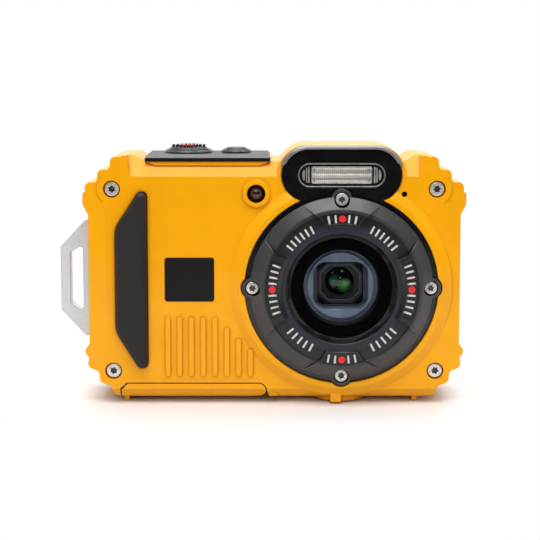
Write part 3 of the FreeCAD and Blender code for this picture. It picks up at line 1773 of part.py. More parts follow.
def make_lens_unit():
    """The folded lens: a well behind the window, a prism, and groups that lie along X."""
    lens = (0, S.lens_height)
    front = FRONT_IN
    middle_y = size(1.2)
    block = box(
        "unit_block",
        (S.unit_left, S.unit_right),
        (front + 0.9, S.unit_back),
        (S.unit_low, S.unit_top),
    )
    turret = rod("unit_turret", "y", lens, (front, front + 3), S.barrel_radius)
    mouth = rounded_opening(
        "barrel_mouth", (front - 1, front + S.mouth_deep), S.mouth_wide, S.mouth_tall, 3.4
    )
    floor = front + S.throat_deep
    throat = rounded_opening(
        "barrel_throat", (front, floor), S.throat_wide, S.throat_tall, 1.7
    )
    lens_seat = turned(
        "front_lens_seat",
        "y",
        lens,
        (floor - 1, size(0)),
        (floor - 1, S.front_lens_radius + 1.6),
        (floor + 0.3, S.front_lens_radius + 1.2),
        (floor + 0.3, S.front_lens_radius + 0.6),
        (floor + 0.7, S.front_lens_radius + 0.4),
        (floor + 0.7, S.front_lens_radius + S.fit / 5),
        (floor + 2.8, S.front_lens_radius + S.fit / 5),
        (floor + 2.8, size(0)),
    )
    prism_half = S.front_lens_radius + 0.3
    prism_room = box(
        "prism_room",
        (-prism_half, prism_half),
        (floor + 2.7, S.unit_back + 1),
        (S.lens_height - prism_half, S.lens_height + prism_half),
    )
    light_way = rod("light_way", "x", (middle_y, S.lens_height), (size(3.0), size(9.0)), 3.6)
    channel = box(
        "zoom_channel",
        (size(8.2), S.unit_right - 1.2),
        (middle_y - 5.9, S.unit_back + 1),
        (S.unit_low + 1.2, S.unit_top - 1.2),
    )
    ways = [
        rod(
            "rod_way_%d" % number,
            "x",
            (middle_y, S.lens_height + side * 7.2),
            (size(3.0), S.unit_right + 1),
            S.rod_radius + S.fit / 5,
        )
        for number, side in enumerate((-1, 1))
    ]
    sensor_way = box(
        "sensor_way",
        (S.unit_right - 2, S.unit_right + 1),
        (middle_y - 3.2, middle_y + 3.2),
        (S.lens_height - 4, S.lens_height + 4),
    )
    screw_way = rod(
        "lead_way", "x", (middle_y + 4.2, S.lens_height + 7.2), (size(1.0), S.unit_right + 1), 0.7
    )
    piece(
        "lens_housing",
        cut(
            "lens_housing",
            fuse("unit_solid", block, turret),
            mouth,
            throat,
            lens_seat,
            prism_room,
            light_way,
            channel,
            sensor_way,
            screw_way,
            *ways,
        ),
    )
    front_lens = turned(
        "front_lens",
        "y",
        lens,
        (floor + 0.7, size(0)),
        (floor + 0.8, S.front_lens_radius * 0.35),
        (floor + 1.1, S.front_lens_radius * 0.68),
        (floor + 1.6, S.front_lens_radius),
        (floor + 2.6, S.front_lens_radius),
        (floor + 2.6, size(0)),
    )
    piece("front_lens", front_lens)
    half = S.front_lens_radius
    glass = prism(
        "prism",
        "top",
        (S.lens_height - half, S.lens_height + half),
        Outline((-half, floor + 2.9), (half, floor + 2.9), (half, S.unit_back - 0.9)),
    )
    piece("prism", glass)
    start = S.zoom_start
    frame = box(
        "carrier_block",
        (start, start + S.zoom_thick),
        (middle_y - 4.6, middle_y + 4.6),
        (S.lens_height - 8.6, S.lens_height + 8.6),
    )
    bore = (start - 1, start + 9)
    carrier = cut(
        "zoom_carrier",
        frame,
        rod("carrier_bore", "x", (middle_y, S.lens_height), bore, 4.0 + S.fit / 5),
        *[
            rod(
                "carrier_way_%d" % number,
                "x",
                (middle_y, S.lens_height + side * 7.2),
                (start - 1, start + 9),
                S.rod_radius + S.rod_fit,
            )
            for number, side in enumerate((-1, 1))
        ],
        box(
            "carrier_lead_way",
            (start - 1, start + 9),
            (middle_y + 2.8, middle_y + 6),
            (S.lens_height + 5.4, S.lens_height + 9),
        ),
    )
    piece("zoom_carrier", carrier)
    zoom_lens = turned(
        "zoom_lens",
        "x",
        (middle_y, S.lens_height),
        (start + 0.9, size(0)),
        (start + 1.2, 2.0),
        (start + 1.7, 4.0),
        (start + 3.6, 4.0),
        (start + 4.1, 2.0),
        (start + 4.4, size(0)),
    )
    piece("zoom_lens", zoom_lens)
    rods = [
        rod(
            "guide_rod_%d" % number,
            "x",
            (middle_y, S.lens_height + side * 7.2),
            (size(3.4), S.unit_right - 0.1),
            S.rod_radius,
        )
        for number, side in enumerate((-1, 1))
    ]
    piece("guide_rods", compound("guide_rods", rods))
    screw_at = (middle_y + 4.2, S.lens_height + 7.2)
    lead = fuse(
        "zoom_motor",
        rod("lead_screw", "x", screw_at, (size(1.4), S.unit_right + 0.1), 0.6),
        rod(
            "motor_can",
            "x",
            (middle_y + 1.6, S.lens_height + 7.2),
            (S.unit_right + 0.05, S.unit_right + 1.2),
            2.9,
        ),
    )
    piece("zoom_motor", lead)
    sensor = box(
        "image_sensor",
        (S.unit_right - 1.1, S.unit_right + 0.1),
        (middle_y - 3.1, middle_y + 3.1),
        (S.lens_height - 3.9, S.lens_height + 3.9),
    )
    piece("image_sensor", sensor)
    board = box(
        "sensor_board",
        (S.unit_right + 0.1, S.unit_right + 0.8),
        (middle_y - 5.6, middle_y + 5.6),
        (S.unit_low, S.lens_height + 4.0),
    )
    piece("sensor_board", board)


def rounded_opening(name, along, wide, tall, corner):
    """A rounded rectangle centred on the lens axis."""
    return prism(
        name,
        "front",
        along,
        Outline(
            (-wide / 2, S.lens_height - tall / 2, corner),
            (wide / 2, S.lens_height - tall / 2, corner),
            (wide / 2, S.lens_height + tall / 2, corner),
            (-wide / 2, S.lens_height + tall / 2, corner),
        ),
    )


def make_boards():
    base = PARTING - 0.9
    board = cut(
        "main_board",
        box("main_board_blank", (-23.4, RIGHT - S.wall - 4), (base, base + 0.9), (14.0, 56.0)),
        rod("board_notch", "y", (RIGHT - S.wall - 4, 56), (base - 1, base + 2), 5),
    )
    chips = [
        box("processor", (-21, -9), (base - 1.3, base), (size(45), size(54))),
        box("memory_chip", (-21.5, -14), (base - 1.0, base), (size(30), size(38))),
        box("drive_chip", (-21.5, -15), (base - 1.0, base), (size(17), size(24))),
    ]
    piece("main_board", fuse("main_board_set", board, *chips))
    usb = box("usb_blank", *USB)
    usb_room = box(
        "usb_room",
        (USB[0][0] + 0.4, USB[0][1] - 0.4),
        (USB[1][0] + 0.4, USB[1][1] - 0.4),
        (FLOOR - 1, USB[2][1] - 0.6),
    )
    piece("usb_socket", cut("usb_socket", usb, usb_room))


def make_screen():
    along = (REAR - 1.0, REAR + 0.3)
    window = block_at("screen_window_blank", S.screen_wide / 2, S.screen_tall / 2, along)
    piece("screen_window", window)
    panel = block_at(
        "screen_panel",
        S.panel_wide / 2,
        S.panel_tall / 2,
        (REAR_IN - S.panel_thick - 0.02, REAR_IN - 0.02),
    )
    piece("screen_panel", panel)


def key_profile(radius, base):
    """The half section of a round key with a flange behind the rear wall."""
    front = REAR_IN - 0.9
    return (
        (front, base),
        (front, radius + 0.9),
        (REAR_IN - 0.5, radius + 0.9),
        (REAR_IN - 0.5, radius),
        (REAR + S.key_rise - 0.3, radius),
        (REAR + S.key_rise, radius - 0.3),
        (REAR + S.key_rise, base),
    )


def make_keys():
    """The rear keys, the direction pad with its middle key, and the rubber mat under them."""
    for name, x, height, radius in KEYS:
        if name == "pad":
            pad = turned(
                "nav_pad",
                "y",
                (x, height),
                (REAR_IN - 0.9, S.ok_radius + 0.25),
                (REAR_IN - 0.9, radius + 0.9),
                (REAR_IN - 0.5, radius + 0.9),
                (REAR_IN - 0.5, radius),
                (REAR + S.key_rise - 0.5, radius),
                (REAR + S.key_rise, radius - 0.8),
                (REAR + S.key_rise - 0.4, S.ok_radius + 1.2),
                (REAR + S.key_rise - 0.4, S.ok_radius + 0.25),
            )
            piece("nav_pad", pad)
            ok_key = turned(
                "ok_button",
                "y",
                (x, height),
                (REAR_IN - 0.9, size(0)),
                (REAR_IN - 0.9, S.ok_radius),
                (REAR + S.key_rise - 0.5, S.ok_radius),
                (REAR + S.key_rise - 0.2, S.ok_radius - 0.5),
                (REAR + S.key_rise - 0.2, size(0)),
            )
            piece("ok_button", ok_key)
        else:
            profile = key_profile(radius, size(0))
            piece(name + "_button", turned(name + "_button", "y", (x, height), *profile))
    wide = S.rocker_wide / 2
    tall = S.rocker_tall / 2
    cap = prism(
        "rocker_cap",
        "top",
        (ROCKER_HEIGHT - tall, ROCKER_HEIGHT + tall),
        Outline(
            (S.pad_x - wide, REAR + 0.1),
            (S.pad_x - wide, REAR + 0.7, 0.3),
            (S.pad_x, REAR + 0.9),
            (S.pad_x + wide, REAR + 0.7, 0.3),
            (S.pad_x + wide, REAR + 0.1),
            (S.pad_x, REAR - 0.6),
        ),
    )
    stem = box(
        "rocker_stem",
        (S.pad_x - 1.0, S.pad_x + 1.0),
        (REAR_IN - 0.9, REAR),
        (ROCKER_HEIGHT - 1.2, ROCKER_HEIGHT + 1.2),
    )
    piece("zoom_rocker", fuse("zoom_rocker", cap, stem))
    mat_y = (REAR_IN - 2.0, REAR_IN - 0.9 - S.key_travel - 0.1)
    mat = cut(
        "key_mat",
        box(
            "key_mat_sheet",
            (S.pad_x - 7.8, S.pad_x + 16.8),
            mat_y,
            (S.pad_height - 18.8, ROCKER_HEIGHT + 3.0),
        ),
        box(
            "key_mat_corner",
            (S.pad_x + 9.4, S.pad_x + 18),
            (mat_y[0] - 1, mat_y[1] + 1),
            (S.pad_height - 20, S.pad_height - 9),
        ),
    )
    piece("key_mat", mat)
    speaker = rod(
        "speaker", "y", SPEAKER, (REAR_IN - 2.4, REAR_IN - 0.05), 3.4
    )
    piece("speaker", speaker)


def check_document():
    """Stops on any object that failed and on any sub-part that isn't a sound solid."""
    faults = []
    for item in DOC.Objects:
        if "Invalid" in item.State or "Error" in item.State:
            faults.append(item.Name + " failed to build")
    for node, item in PIECES.items():
        shape = item.Shape
        if shape.isNull() or not shape.isValid() or not shape.Solids:
            faults.append(node + " isn't a sound solid")
    if faults:
        raise RuntimeError("; ".join(faults))


def export():
    os.makedirs("parts", exist_ok=True)
    for node, item in PIECES.items():
        item.Shape.exportStep(os.path.join("parts", node + ".step"))


def main():
    make_front_casing()
    make_rear_casing()
    make_casing_seal()
    make_front_bezel()
    make_lens_ring()
    make_screws()
    make_window()
    make_flash()
    make_lamp_and_microphone()
    make_grip()
    make_top()
    make_strap_lug()
    make_tripod_socket()
    make_door()
    make_power()
    make_lens_unit()
    make_boards()
    make_screen()
    make_keys()
    DOC.recompute()
    check_document()
    export()
    print(len(PIECES), "nodes")


main()
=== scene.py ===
import json
import math

import bpy
from bpy.props import FloatProperty, FloatVectorProperty, IntProperty, PointerProperty
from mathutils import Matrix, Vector


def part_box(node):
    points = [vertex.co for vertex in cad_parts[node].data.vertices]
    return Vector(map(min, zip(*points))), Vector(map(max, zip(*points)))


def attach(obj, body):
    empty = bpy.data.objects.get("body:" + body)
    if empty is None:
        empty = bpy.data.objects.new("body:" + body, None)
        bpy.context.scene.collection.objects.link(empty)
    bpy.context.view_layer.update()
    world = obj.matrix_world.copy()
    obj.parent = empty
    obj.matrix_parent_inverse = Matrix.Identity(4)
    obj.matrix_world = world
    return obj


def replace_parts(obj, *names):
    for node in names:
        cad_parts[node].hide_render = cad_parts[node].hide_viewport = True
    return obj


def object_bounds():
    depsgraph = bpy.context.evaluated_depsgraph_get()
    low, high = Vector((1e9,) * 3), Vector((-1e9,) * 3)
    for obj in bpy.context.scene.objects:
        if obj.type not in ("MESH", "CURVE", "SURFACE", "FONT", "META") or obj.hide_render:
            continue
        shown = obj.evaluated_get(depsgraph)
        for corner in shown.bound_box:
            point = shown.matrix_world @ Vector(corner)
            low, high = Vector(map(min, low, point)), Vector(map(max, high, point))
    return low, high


bl_info = {
    "name": "Waterproof camera",
    "version": (1, 0, 0),
    "blender": (4, 5, 0),
    "location": "View3D > Sidebar > Camera",
    "description": "Finishes and fine pieces of a compact waterproof camera",
    "category": "Object",
}

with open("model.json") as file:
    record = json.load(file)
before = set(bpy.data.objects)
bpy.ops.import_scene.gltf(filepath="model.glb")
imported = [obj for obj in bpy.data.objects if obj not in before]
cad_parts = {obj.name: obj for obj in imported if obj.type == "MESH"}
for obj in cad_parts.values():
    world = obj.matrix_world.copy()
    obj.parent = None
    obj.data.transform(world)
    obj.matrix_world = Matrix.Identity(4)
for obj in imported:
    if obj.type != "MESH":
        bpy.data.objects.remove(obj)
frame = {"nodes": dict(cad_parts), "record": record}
NODES = frame["nodes"]
CAD_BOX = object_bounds()
MM = 0.001


def middle(node):
    """The middle of a node's box, in metres."""
    low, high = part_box(node)
    return (low + high) / 2


LENS = middle("lens_ring")
RING_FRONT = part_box("lens_ring")[0].y
# Where a print for the front starts, before it is laid on its surface.
IN_FRONT = RING_FRONT - 1 * MM


def tone(red, green, blue):
    """A colour written as on a screen, 0 to 255, turned into Blender's linear one."""
    levels = (value / 255 for value in (red, green, blue))
    return tuple(v / 12.92 if v < 0.04045 else ((v + 0.055) / 1.055) ** 2.4 for v in levels)


# Modelling by hand

FACINGS = {
    "front": (math.pi / 2, 0, 0),
    "rear": (math.pi / 2, 0, math.pi),
    "left": (math.pi / 2, 0, -math.pi / 2),
}
# Two places that are nearer than this are the same.
SAME = 1e-7


def rest():
    """Leaves edit mode with nothing selected."""
    if bpy.context.object and bpy.context.object.mode != "OBJECT":
        bpy.ops.object.mode_set(mode="OBJECT")
    bpy.ops.object.select_all(action="DESELECT")


def named(name):
    """Names the primitive that was just added."""
    piece = bpy.context.active_object
    piece.name = piece.data.name = name
    return piece


def only(piece):
    """Selects one piece and makes it the active one."""
    rest()
    piece.select_set(True)
    bpy.context.view_layer.objects.active = piece


def pick(piece, kind, wanted=None):
    """Opens edit mode with the faces, edges or points selected that pass the test, or with all."""
    wanted = wanted or (lambda *places: True)
    only(piece)
    bpy.ops.object.mode_set(mode="EDIT")
    bpy.ops.mesh.select_mode(type=kind)
    bpy.ops.mesh.select_all(action="DESELECT")
    bpy.ops.object.mode_set(mode="OBJECT")
    points = piece.data.vertices
    if kind == "FACE":
        for face in piece.data.polygons:
            face.select = wanted(face.center, face.normal)
    elif kind == "EDGE":
        for edge in piece.data.edges:
            edge.select = wanted(*(points[index].co for index in edge.vertices))
    else:
        for point in points:
            point.select = wanted(point.co)
    bpy.ops.object.mode_set(mode="EDIT")


def stretch(across=1.0, up=1.0, deep=1.0):
    """Scales what is selected about the piece's middle."""
    bpy.ops.transform.resize(value=(across, up, deep), center_override=(0, 0, 0))


def settle(piece):
    """Fixes a piece's place, turn and size in its mesh."""
    only(piece)
    bpy.ops.object.transform_apply(location=True, rotation=True, scale=True)
    return piece


def turned(piece, turn, place=(0, 0)):
    """Turns and shifts a piece in its own plane."""
    piece.rotation_euler = (0, 0, turn)
    piece.location = (*place, 0)
    return settle(piece)


def lay(piece, spot, facing="front", turn=0.0):
    """Turns a piece that was modelled facing up, and sets it at its spot."""
    turned(piece, turn)
    piece.rotation_euler = FACINGS[facing]
    piece.location = spot
    return settle(piece)


def copy_of(piece, name):
    """A copy with a mesh of its own."""
    only(piece)
    bpy.ops.object.duplicate(linked=False)
    return named(name)


def join(name, parts):
    """Joins copies into one piece."""
    rest()
    for part in parts:
        part.select_set(True)
    bpy.context.view_layer.objects.active = parts[0]
    bpy.ops.object.join()
    return named(name)


def apply(piece, kind, **settings):
    """Adds a modifier with its settings and applies it."""
    only(piece)
    made = piece.modifiers.new(kind.lower(), kind)
    for name, value in settings.items():
        setattr(made, name, value)
    bpy.ops.object.modifier_apply(modifier=made.name)


def thicken(piece, thick):
    """Gives a surface a wall behind it."""
    apply(piece, "SOLIDIFY", thickness=thick, offset=-1)


def round_edges(piece, width, angle=30):
    apply(piece, "BEVEL", width=width, segments=2, limit_method="ANGLE", angle_limit=math.radians(angle))


def smooth(piece, angle=60):
    only(piece)
    bpy.ops.object.shade_smooth_by_angle(angle=math.radians(angle))


def print_on(piece, node, lift=0.02 * MM, thick=0.05 * MM):
    """Lays a flat mark on a node's front or back and gives it a film's thickness."""
    apply(piece, "SHRINKWRAP", target=NODES[node], wrap_method="PROJECT", wrap_mode="ABOVE_SURFACE",
          use_project_y=True, use_negative_direction=True, use_positive_direction=True, offset=lift)
    apply(piece, "SOLIDIFY", thickness=thick, offset=1)


def finish_of(node):
    """The material that a node has got."""
    return NODES[node].material_slots[0].material


def done(piece, material, body="root", second=None):
    """Gives a finished piece its materials, body and slot."""
    wanted = [material, second] if second else [material]
    for _ in range(len(wanted) - len(piece.data.materials)):
        piece.data.materials.append(None)
    for index, finish in enumerate(wanted):
        piece.data.materials[index] = finish
    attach(piece, body)
    return piece


# Flat outlines, which face up

def plate(name, wide, tall):
    """A flat rectangle."""
    rest()
    bpy.ops.mesh.primitive_plane_add(size=1)
    piece = named(name)
    piece.scale = (wide, tall, 1)
    return settle(piece)


def round_plate(name, radius, sides):
    """A flat disc of one face."""
    rest()
    bpy.ops.mesh.primitive_circle_add(vertices=sides, radius=radius, fill_type="NGON")
    return named(name)


def disc(name, radius, sides=32):
    """A flat disc with a ring of faces inside its rim."""
    piece = round_plate(name, radius, sides)
    pick(piece, "FACE")
    bpy.ops.mesh.inset(thickness=radius * 0.3)
    bpy.ops.mesh.poke()
    rest()
    return piece


def tablet(name, wide, tall, corner):
    """A flat rectangle with rounded corners."""
    piece = plate(name, wide, tall)
    pick(piece, "VERT")
    bpy.ops.mesh.bevel(offset=corner, segments=4, affect="VERTICES")
    rest()
    return piece


def slanted(name, wide, tall, corner):
    """A flat rectangle with slanted corners, whose points are a little rounded."""
    piece = plate(name, wide, tall)
    for offset, segments in ((corner, 1), (corner * 0.2, 2)):
        pick(piece, "VERT")
        bpy.ops.mesh.bevel(offset=offset, segments=segments, affect="VERTICES")
    rest()
    return piece


def stadium(name, long, tall, sides=48):
    """A flat outline with straight long sides and round ends."""
    piece = round_plate(name, tall / 2, sides)
    for side in (-1, 1):
        pick(piece, "VERT", lambda point: point.x * side > tall / 100)
        bpy.ops.transform.translate(value=(side * (long - tall) / 2, 0, 0))
    rest()
    return piece


def bar(name, long, wide):
    """A flat bar along Y with rounded corners, cut across so that it can follow a slope."""
    piece = plate(name, wide, long)
    pick(piece, "EDGE", lambda first, second: abs(first.x - second.x) < wide / 2)
    bpy.ops.mesh.subdivide(number_cuts=3)
    ends = (wide / 2, long / 2)
    pick(piece, "VERT", lambda point: all(abs(abs(point[axis]) - ends[axis]) < SAME for axis in (0, 1)))
    bpy.ops.mesh.bevel(offset=wide * 0.18, segments=2, affect="VERTICES")
    rest()
    return piece


def shape(name, size, corners):
    """A flat mark, whose corners are given as shares of its size."""
    piece = round_plate(name, size, len(corners))
    for point, (across, up) in zip(piece.data.vertices, corners):
        point.co = (across * size, up * size, 0)
    return piece


def open_middle(piece, width):
    """Leaves only the rim of a flat outline."""
    pick(piece, "FACE")
    bpy.ops.mesh.inset(thickness=width)
    bpy.ops.mesh.delete(type="FACE")
    rest()


def frame_of(piece, width, thick, rounding):
    """Turns a flat outline into a rounded frame of one width."""
    open_middle(piece, width)
    thicken(piece, thick)
    round_edges(piece, rounding)
    smooth(piece)
    return piece


# Finishes

class Nodes:
    """A node tree with short calls for what the finishes and the surroundings share."""

    def __init__(self, owner):
        owner.use_nodes = True
        self.tree = owner.node_tree
        self.tree.nodes.clear()

    def node(self, kind, inputs=None, **settings):
        """Adds a node; an input is given a number or colour, or joined to another node."""
        made = self.tree.nodes.new("ShaderNode" + kind)
        for name, value in settings.items():
            setattr(made, name, value)
        for name, value in (inputs or {}).items():
            self.give(made.inputs[name], value)
        return made

    def give(self, socket, value):
        """Joins a socket to another node's, or sets it to a number or colour."""
        if isinstance(value, bpy.types.NodeSocket):
            self.tree.links.new(value, socket)
        else:
            socket.default_value = value

    def between(self, value, low, high, start=0.0, end=1.0):
        """Maps a value from one span to another and keeps it there."""
        spans = {"From Min": low, "From Max": high, "To Min": start, "To Max": end}
        return self.node("MapRange", {"Value": value, **spans}).outputs["Result"]

    def inside(self, value, limit, blur):
        """1 below a limit and 0 above it, with a blurred edge."""
        return self.between(value, limit + blur / 2, limit - blur / 2)

    def work_out(self, operation, first, second=0.0):
        return self.node("Math", {0: first, 1: second}, operation=operation).outputs[0]

    def times(self, first, second):
        return self.work_out("MULTIPLY", first, second)

    def gap(self, first, second):
        """How far two numbers are apart."""
        return self.work_out("ABSOLUTE", self.work_out("SUBTRACT", first, second))

    def choose(self, share, first, second):
        """Mixes two numbers by a share."""
        return self.node("Mix", {0: share, 2: first, 3: second}).outputs[0]

    def part(self, vector, letter):
        """One coordinate of a vector."""
        return self.node("SeparateXYZ", {0: vector}).outputs[letter]


# How much a rounded normal is like the true one, on flats and on edges.
FLAT_LIKENESS, EDGE_LIKENESS = 0.995, 0.9


class Finish(Nodes):
    """A material, its shader and the patterns that the finishes share."""

    def __init__(self, name):
        self.material = bpy.data.materials.new(name)
        super().__init__(self.material)
        self.shader = self.node("BsdfPrincipled")
        self.output = self.node("OutputMaterial", {"Surface": self.shader.outputs[0]})
        self.place = self.node("TexCoord").outputs["Object"]

    def set(self, **values):
        """Sets or joins the shader's own sockets."""
        for name, value in values.items():
            self.give(self.shader.inputs[name.replace("_", " ")], value)

    def colour(self):
        """The colour that the shader has been joined to."""
        return self.shader.inputs["Base Color"].links[0].from_socket

    def noise(self, grain, detail=3.0):
        """Cloudy noise whose blobs are about grain metres wide."""
        sizes = {"Scale": 1 / grain, "Detail": detail, "Roughness": 0.55}
        return self.node("TexNoise", {"Vector": self.place, **sizes}).outputs["Fac"]

    def clouds(self, grain, low, high, start=0.0, end=1.0, detail=3.0):
        """Noise mapped from one span to another."""
        return self.between(self.noise(grain, detail), low, high, start, end)

    def mottled(self, grain, first, second, low=0.35, high=0.7, detail=3.0):
        """Two colours mixed in clouds."""
        return self.blend(self.clouds(grain, low, high, detail=detail), first, second)

    def roughness(self, grain, low, high, detail=3.0):
        """A roughness that drifts between two values."""
        return self.clouds(grain, 0.3, 0.7, low, high, detail)

    def specks(self, grain):
        """Cells about grain metres wide; gives the distance to the nearest cell's middle."""
        return self.node("TexVoronoi", {"Vector": self.place, "Scale": 1 / grain}).outputs["Distance"]

    def blend(self, share, first, second):
        """Mixes two colours by a share."""
        colours = {
            key: value if isinstance(value, bpy.types.NodeSocket) else (*value, 1.0)
            for key, value in ((6, first), (7, second))
        }
        return self.node("Mix", {0: share, **colours}, data_type="RGBA").outputs[2]

    def along(self, letter):
        """The place along one axis, in metres."""
        return self.part(self.place, letter)

    def geometry(self, name):
        return self.node("NewGeometry").outputs[name]

    def vector(self, operation, first, second=(0.0, 0.0, 0.0)):
        return self.node("VectorMath", {0: first, 1: second}, operation=operation).outputs

    def from_axis(self, centre, flat):
        """The distance from a point, measured across one axis."""
        keep = [0.0 if letter == flat else 1.0 for letter in "XYZ"]
        moved = self.vector("SUBTRACT", self.place, centre)[0]
        return self.vector("LENGTH", self.vector("MULTIPLY", moved, keep)[0])["Value"]

    def rounded(self, reach):
        """The normal of a surface whose edges are rounded."""
        return self.node("Bevel", {"Radius": reach}, samples=4).outputs[0]

    def edges(self, reach):
        """Near 1 on edges and corners, and 0 on flats."""
        likeness = self.vector("DOT_PRODUCT", self.rounded(reach), self.geometry("Normal"))["Value"]
        return self.between(likeness, FLAT_LIKENESS, EDGE_LIKENESS)

    def hollows(self, reach, bare=0.95, full=0.45):
        """Near 1 in grooves and inner corners, and 0 on open surfaces."""
        made = self.node("AmbientOcclusion", {"Distance": reach}, samples=6)
        return self.between(made.outputs["AO"], bare, full)

    def bump(self, height, depth, strength, reach=None):
        """Raises the surface by a height map of a real depth, over softly rounded edges."""
        inputs = {"Height": height, "Distance": depth, "Strength": strength}
        if reach:
            inputs["Normal"] = self.rounded(reach)
        self.set(Normal=self.node("Bump", inputs).outputs[0])

    def moulded(self, colour, rough, grain=0.25 * MM, depth=0.01 * MM, spread=0.06,
                round_by=0.25 * MM, wear_and_highlight_colour=None, wear_and_highlight_span=(0.0, 0.5), hollow_shade=None, hollow_shade_reach=1 * MM):
        """A moulded plastic: faint clouds, edges lightened partly by wear and partly as painted
        highlight, painted shade in its grooves, a fine texture.
        """
        shade = tuple(channel * (1 - spread) for channel in colour)
        wear_and_highlight_colour = wear_and_highlight_colour or tuple(min(1.0, channel * 1.12 + 0.02) for channel in colour)
        tinted = self.mottled(9 * MM, colour, shade, 0.35, 0.65, 2.0)
        # Painted shade: darker in grooves and inner corners, where less light reaches.
        if hollow_shade:
            tinted = self.blend(self.hollows(hollow_shade_reach), tinted, hollow_shade)
        # Edges lightened: partly wear, partly painted highlight.
        wear_and_highlight = self.times(self.edges(round_by), self.clouds(2 * MM, 0.45, 0.7, *wear_and_highlight_span))
        self.set(
            Base_Color=self.blend(wear_and_highlight, tinted, wear_and_highlight_colour),
            Roughness=self.roughness(4 * MM, rough - 0.05, rough + 0.06, 4.0),
        )
        self.bump(self.noise(grain, 2.0), depth, 0.6, round_by)


def yellow_shell(looks):
    """The shell's satin yellow."""
    finish = Finish("yellow_shell")
    # Painted shade in its grooves; its edges are lightened partly by wear, partly as painted highlight.
    finish.moulded(
        tuple(looks.shell_colour), 0.34, spread=0.05, round_by=0.35 * MM, wear_and_highlight_colour=tone(255, 190, 40),
        wear_and_highlight_span=(0.15, 0.7), hollow_shade=tone(206, 114, 1), hollow_shade_reach=1.1 * MM,
    )
    finish.set(Specular_IOR_Level=0.12, Coat_Weight=0.4, Coat_Roughness=0.16, Coat_IOR=1.4)
    return finish.material


def black_gloss(looks):
    """Polished black plastic with faint smears."""
    finish = Finish("black_gloss")
    # Painted shade in its grooves; its grey edges are mostly painted highlight, partly wear.
    finish.moulded(
        tone(10, 10, 10), 0.22, grain=1.2 * MM, depth=0.004 * MM, wear_and_highlight_colour=tone(110, 110, 112),
        wear_and_highlight_span=(0.3, 0.8), hollow_shade=tone(3, 3, 3),
    )
    finish.set(Coat_Weight=0.2, Coat_Roughness=0.08)
    return finish.material


def edge_painted_reflection(looks):
    """The bezel's rounded edge, lacquered, and painted grey as a painted reflection of the bright light
    above.
    """
    finish = Finish("edge_painted_reflection")
    finish.moulded(tone(122, 119, 118), 0.4, grain=1.2 * MM, depth=0.003 * MM, spread=0.12)
    finish.set(Coat_Weight=0.6, Coat_IOR=1.8, Coat_Roughness=0.25)
    return finish.material


# The height of the slope round the top plate.
PLATE_SLOPE = 1 * MM


def plate_black(looks):
    """The matte black of the top plate, with its slope along the edges painted lighter: a painted
    highlight, with some polish from handling.
    """
    finish = Finish("plate_black")
    finish.moulded(tone(20, 19, 19), 0.4, grain=0.2 * MM, depth=0.006 * MM)
    height = finish.along("Z")
    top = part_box("top_plate")[1].z
    # Painted highlight on the slope round the plate's top, with some polish from handling.
    slope = finish.times(
        finish.between(height, top - 0.05 * MM, top - 0.1 * MM),
        finish.between(height, top - PLATE_SLOPE - 0.1 * MM, top - PLATE_SLOPE + 0.1 * MM),
    )
    wear_and_highlight = finish.times(slope, finish.clouds(3 * MM, 0.3, 0.7, 0.85, 1.0))
    finish.set(
        Base_Color=finish.blend(wear_and_highlight, finish.colour(), tone(86, 83, 82)),
        Specular_IOR_Level=0.2,
        Coat_Weight=0.25,
        Coat_Roughness=0.2,
    )
    return finish.material


# Radii on the lens ring: of the slope beside the window, of the dish that holds the ticks, and
# of the raised sections round it.
SLOPE_RADIUS = 17.2 * MM
DISH_RADIUS = 20.9 * MM
SECTION_RADIUS = 24.4 * MM


def ring_metal(looks):
    """Dark grey satin paint: darker in the dish, with painted shade on its steep walls and in its
    hollows, bluish on the window's slope.
    """
    finish = Finish("ring_metal")
    # Its edges are lightened mostly as painted highlight, partly as wear.
    finish.moulded(
        tuple(looks.ring_colour), 0.34, grain=0.12 * MM, depth=0.006 * MM, round_by=0.24 * MM,
        wear_and_highlight_colour=tone(150, 150, 150), wear_and_highlight_span=(0.5, 1.0),
    )
    base = finish.colour()
    radius = finish.from_axis(LENS, "Y")
    dish = finish.inside(radius, DISH_RADIUS, 0.6 * MM)
    dark = finish.blend(dish, base, finish.blend(0.85, base, tone(14, 14, 14)))
    facing = finish.part(finish.geometry("True Normal"), "Y")
    # Painted shade: the steep walls of the raised sections are painted near black, as if in shadow.
    shaded_walls = finish.times(
        finish.times(
            finish.inside(radius, SECTION_RADIUS, 0.4 * MM),
            finish.between(radius, SLOPE_RADIUS, SLOPE_RADIUS + 0.4 * MM),
        ),
        finish.between(facing, -0.76, -0.66),
    )
    dark = finish.blend(finish.times(shaded_walls, 0.9), dark, tone(4, 4, 5))
    # Painted shade: near black in grooves and corners, where less light reaches.
    dark = finish.blend(finish.hollows(2.5 * MM, 0.97, 0.75), dark, tone(2, 2, 2))
    slope = finish.times(
        finish.between(finish.along("Y"), RING_FRONT + 0.7 * MM, RING_FRONT + 0.9 * MM),
        finish.inside(radius, SLOPE_RADIUS, 0.4 * MM),
    )
    finish.set(
        Base_Color=finish.blend(slope, dark, tone(32, 36, 45)),
        Metallic=0.1,
        Specular_IOR_Level=0.5,
    )
    return finish.material


def collar_black(looks):
    """The black satin of the collars of the top buttons."""
    finish = Finish("collar_black")
    finish.moulded(tone(26, 26, 28), 0.28, grain=0.12 * MM, depth=0.004 * MM)
    finish.set(Coat_Weight=0.3, Coat_Roughness=0.15)
    return finish.material


def grip_rubber(looks):
    """Matte grey rubber with a fine stipple."""
    finish = Finish("grip_rubber")
    finish.moulded(tone(34, 32, 31), 0.6, grain=0.3 * MM, depth=0.02 * MM, spread=0.12, round_by=0.5 * MM)
    finish.set(Specular_IOR_Level=0.35)
    return finish.material


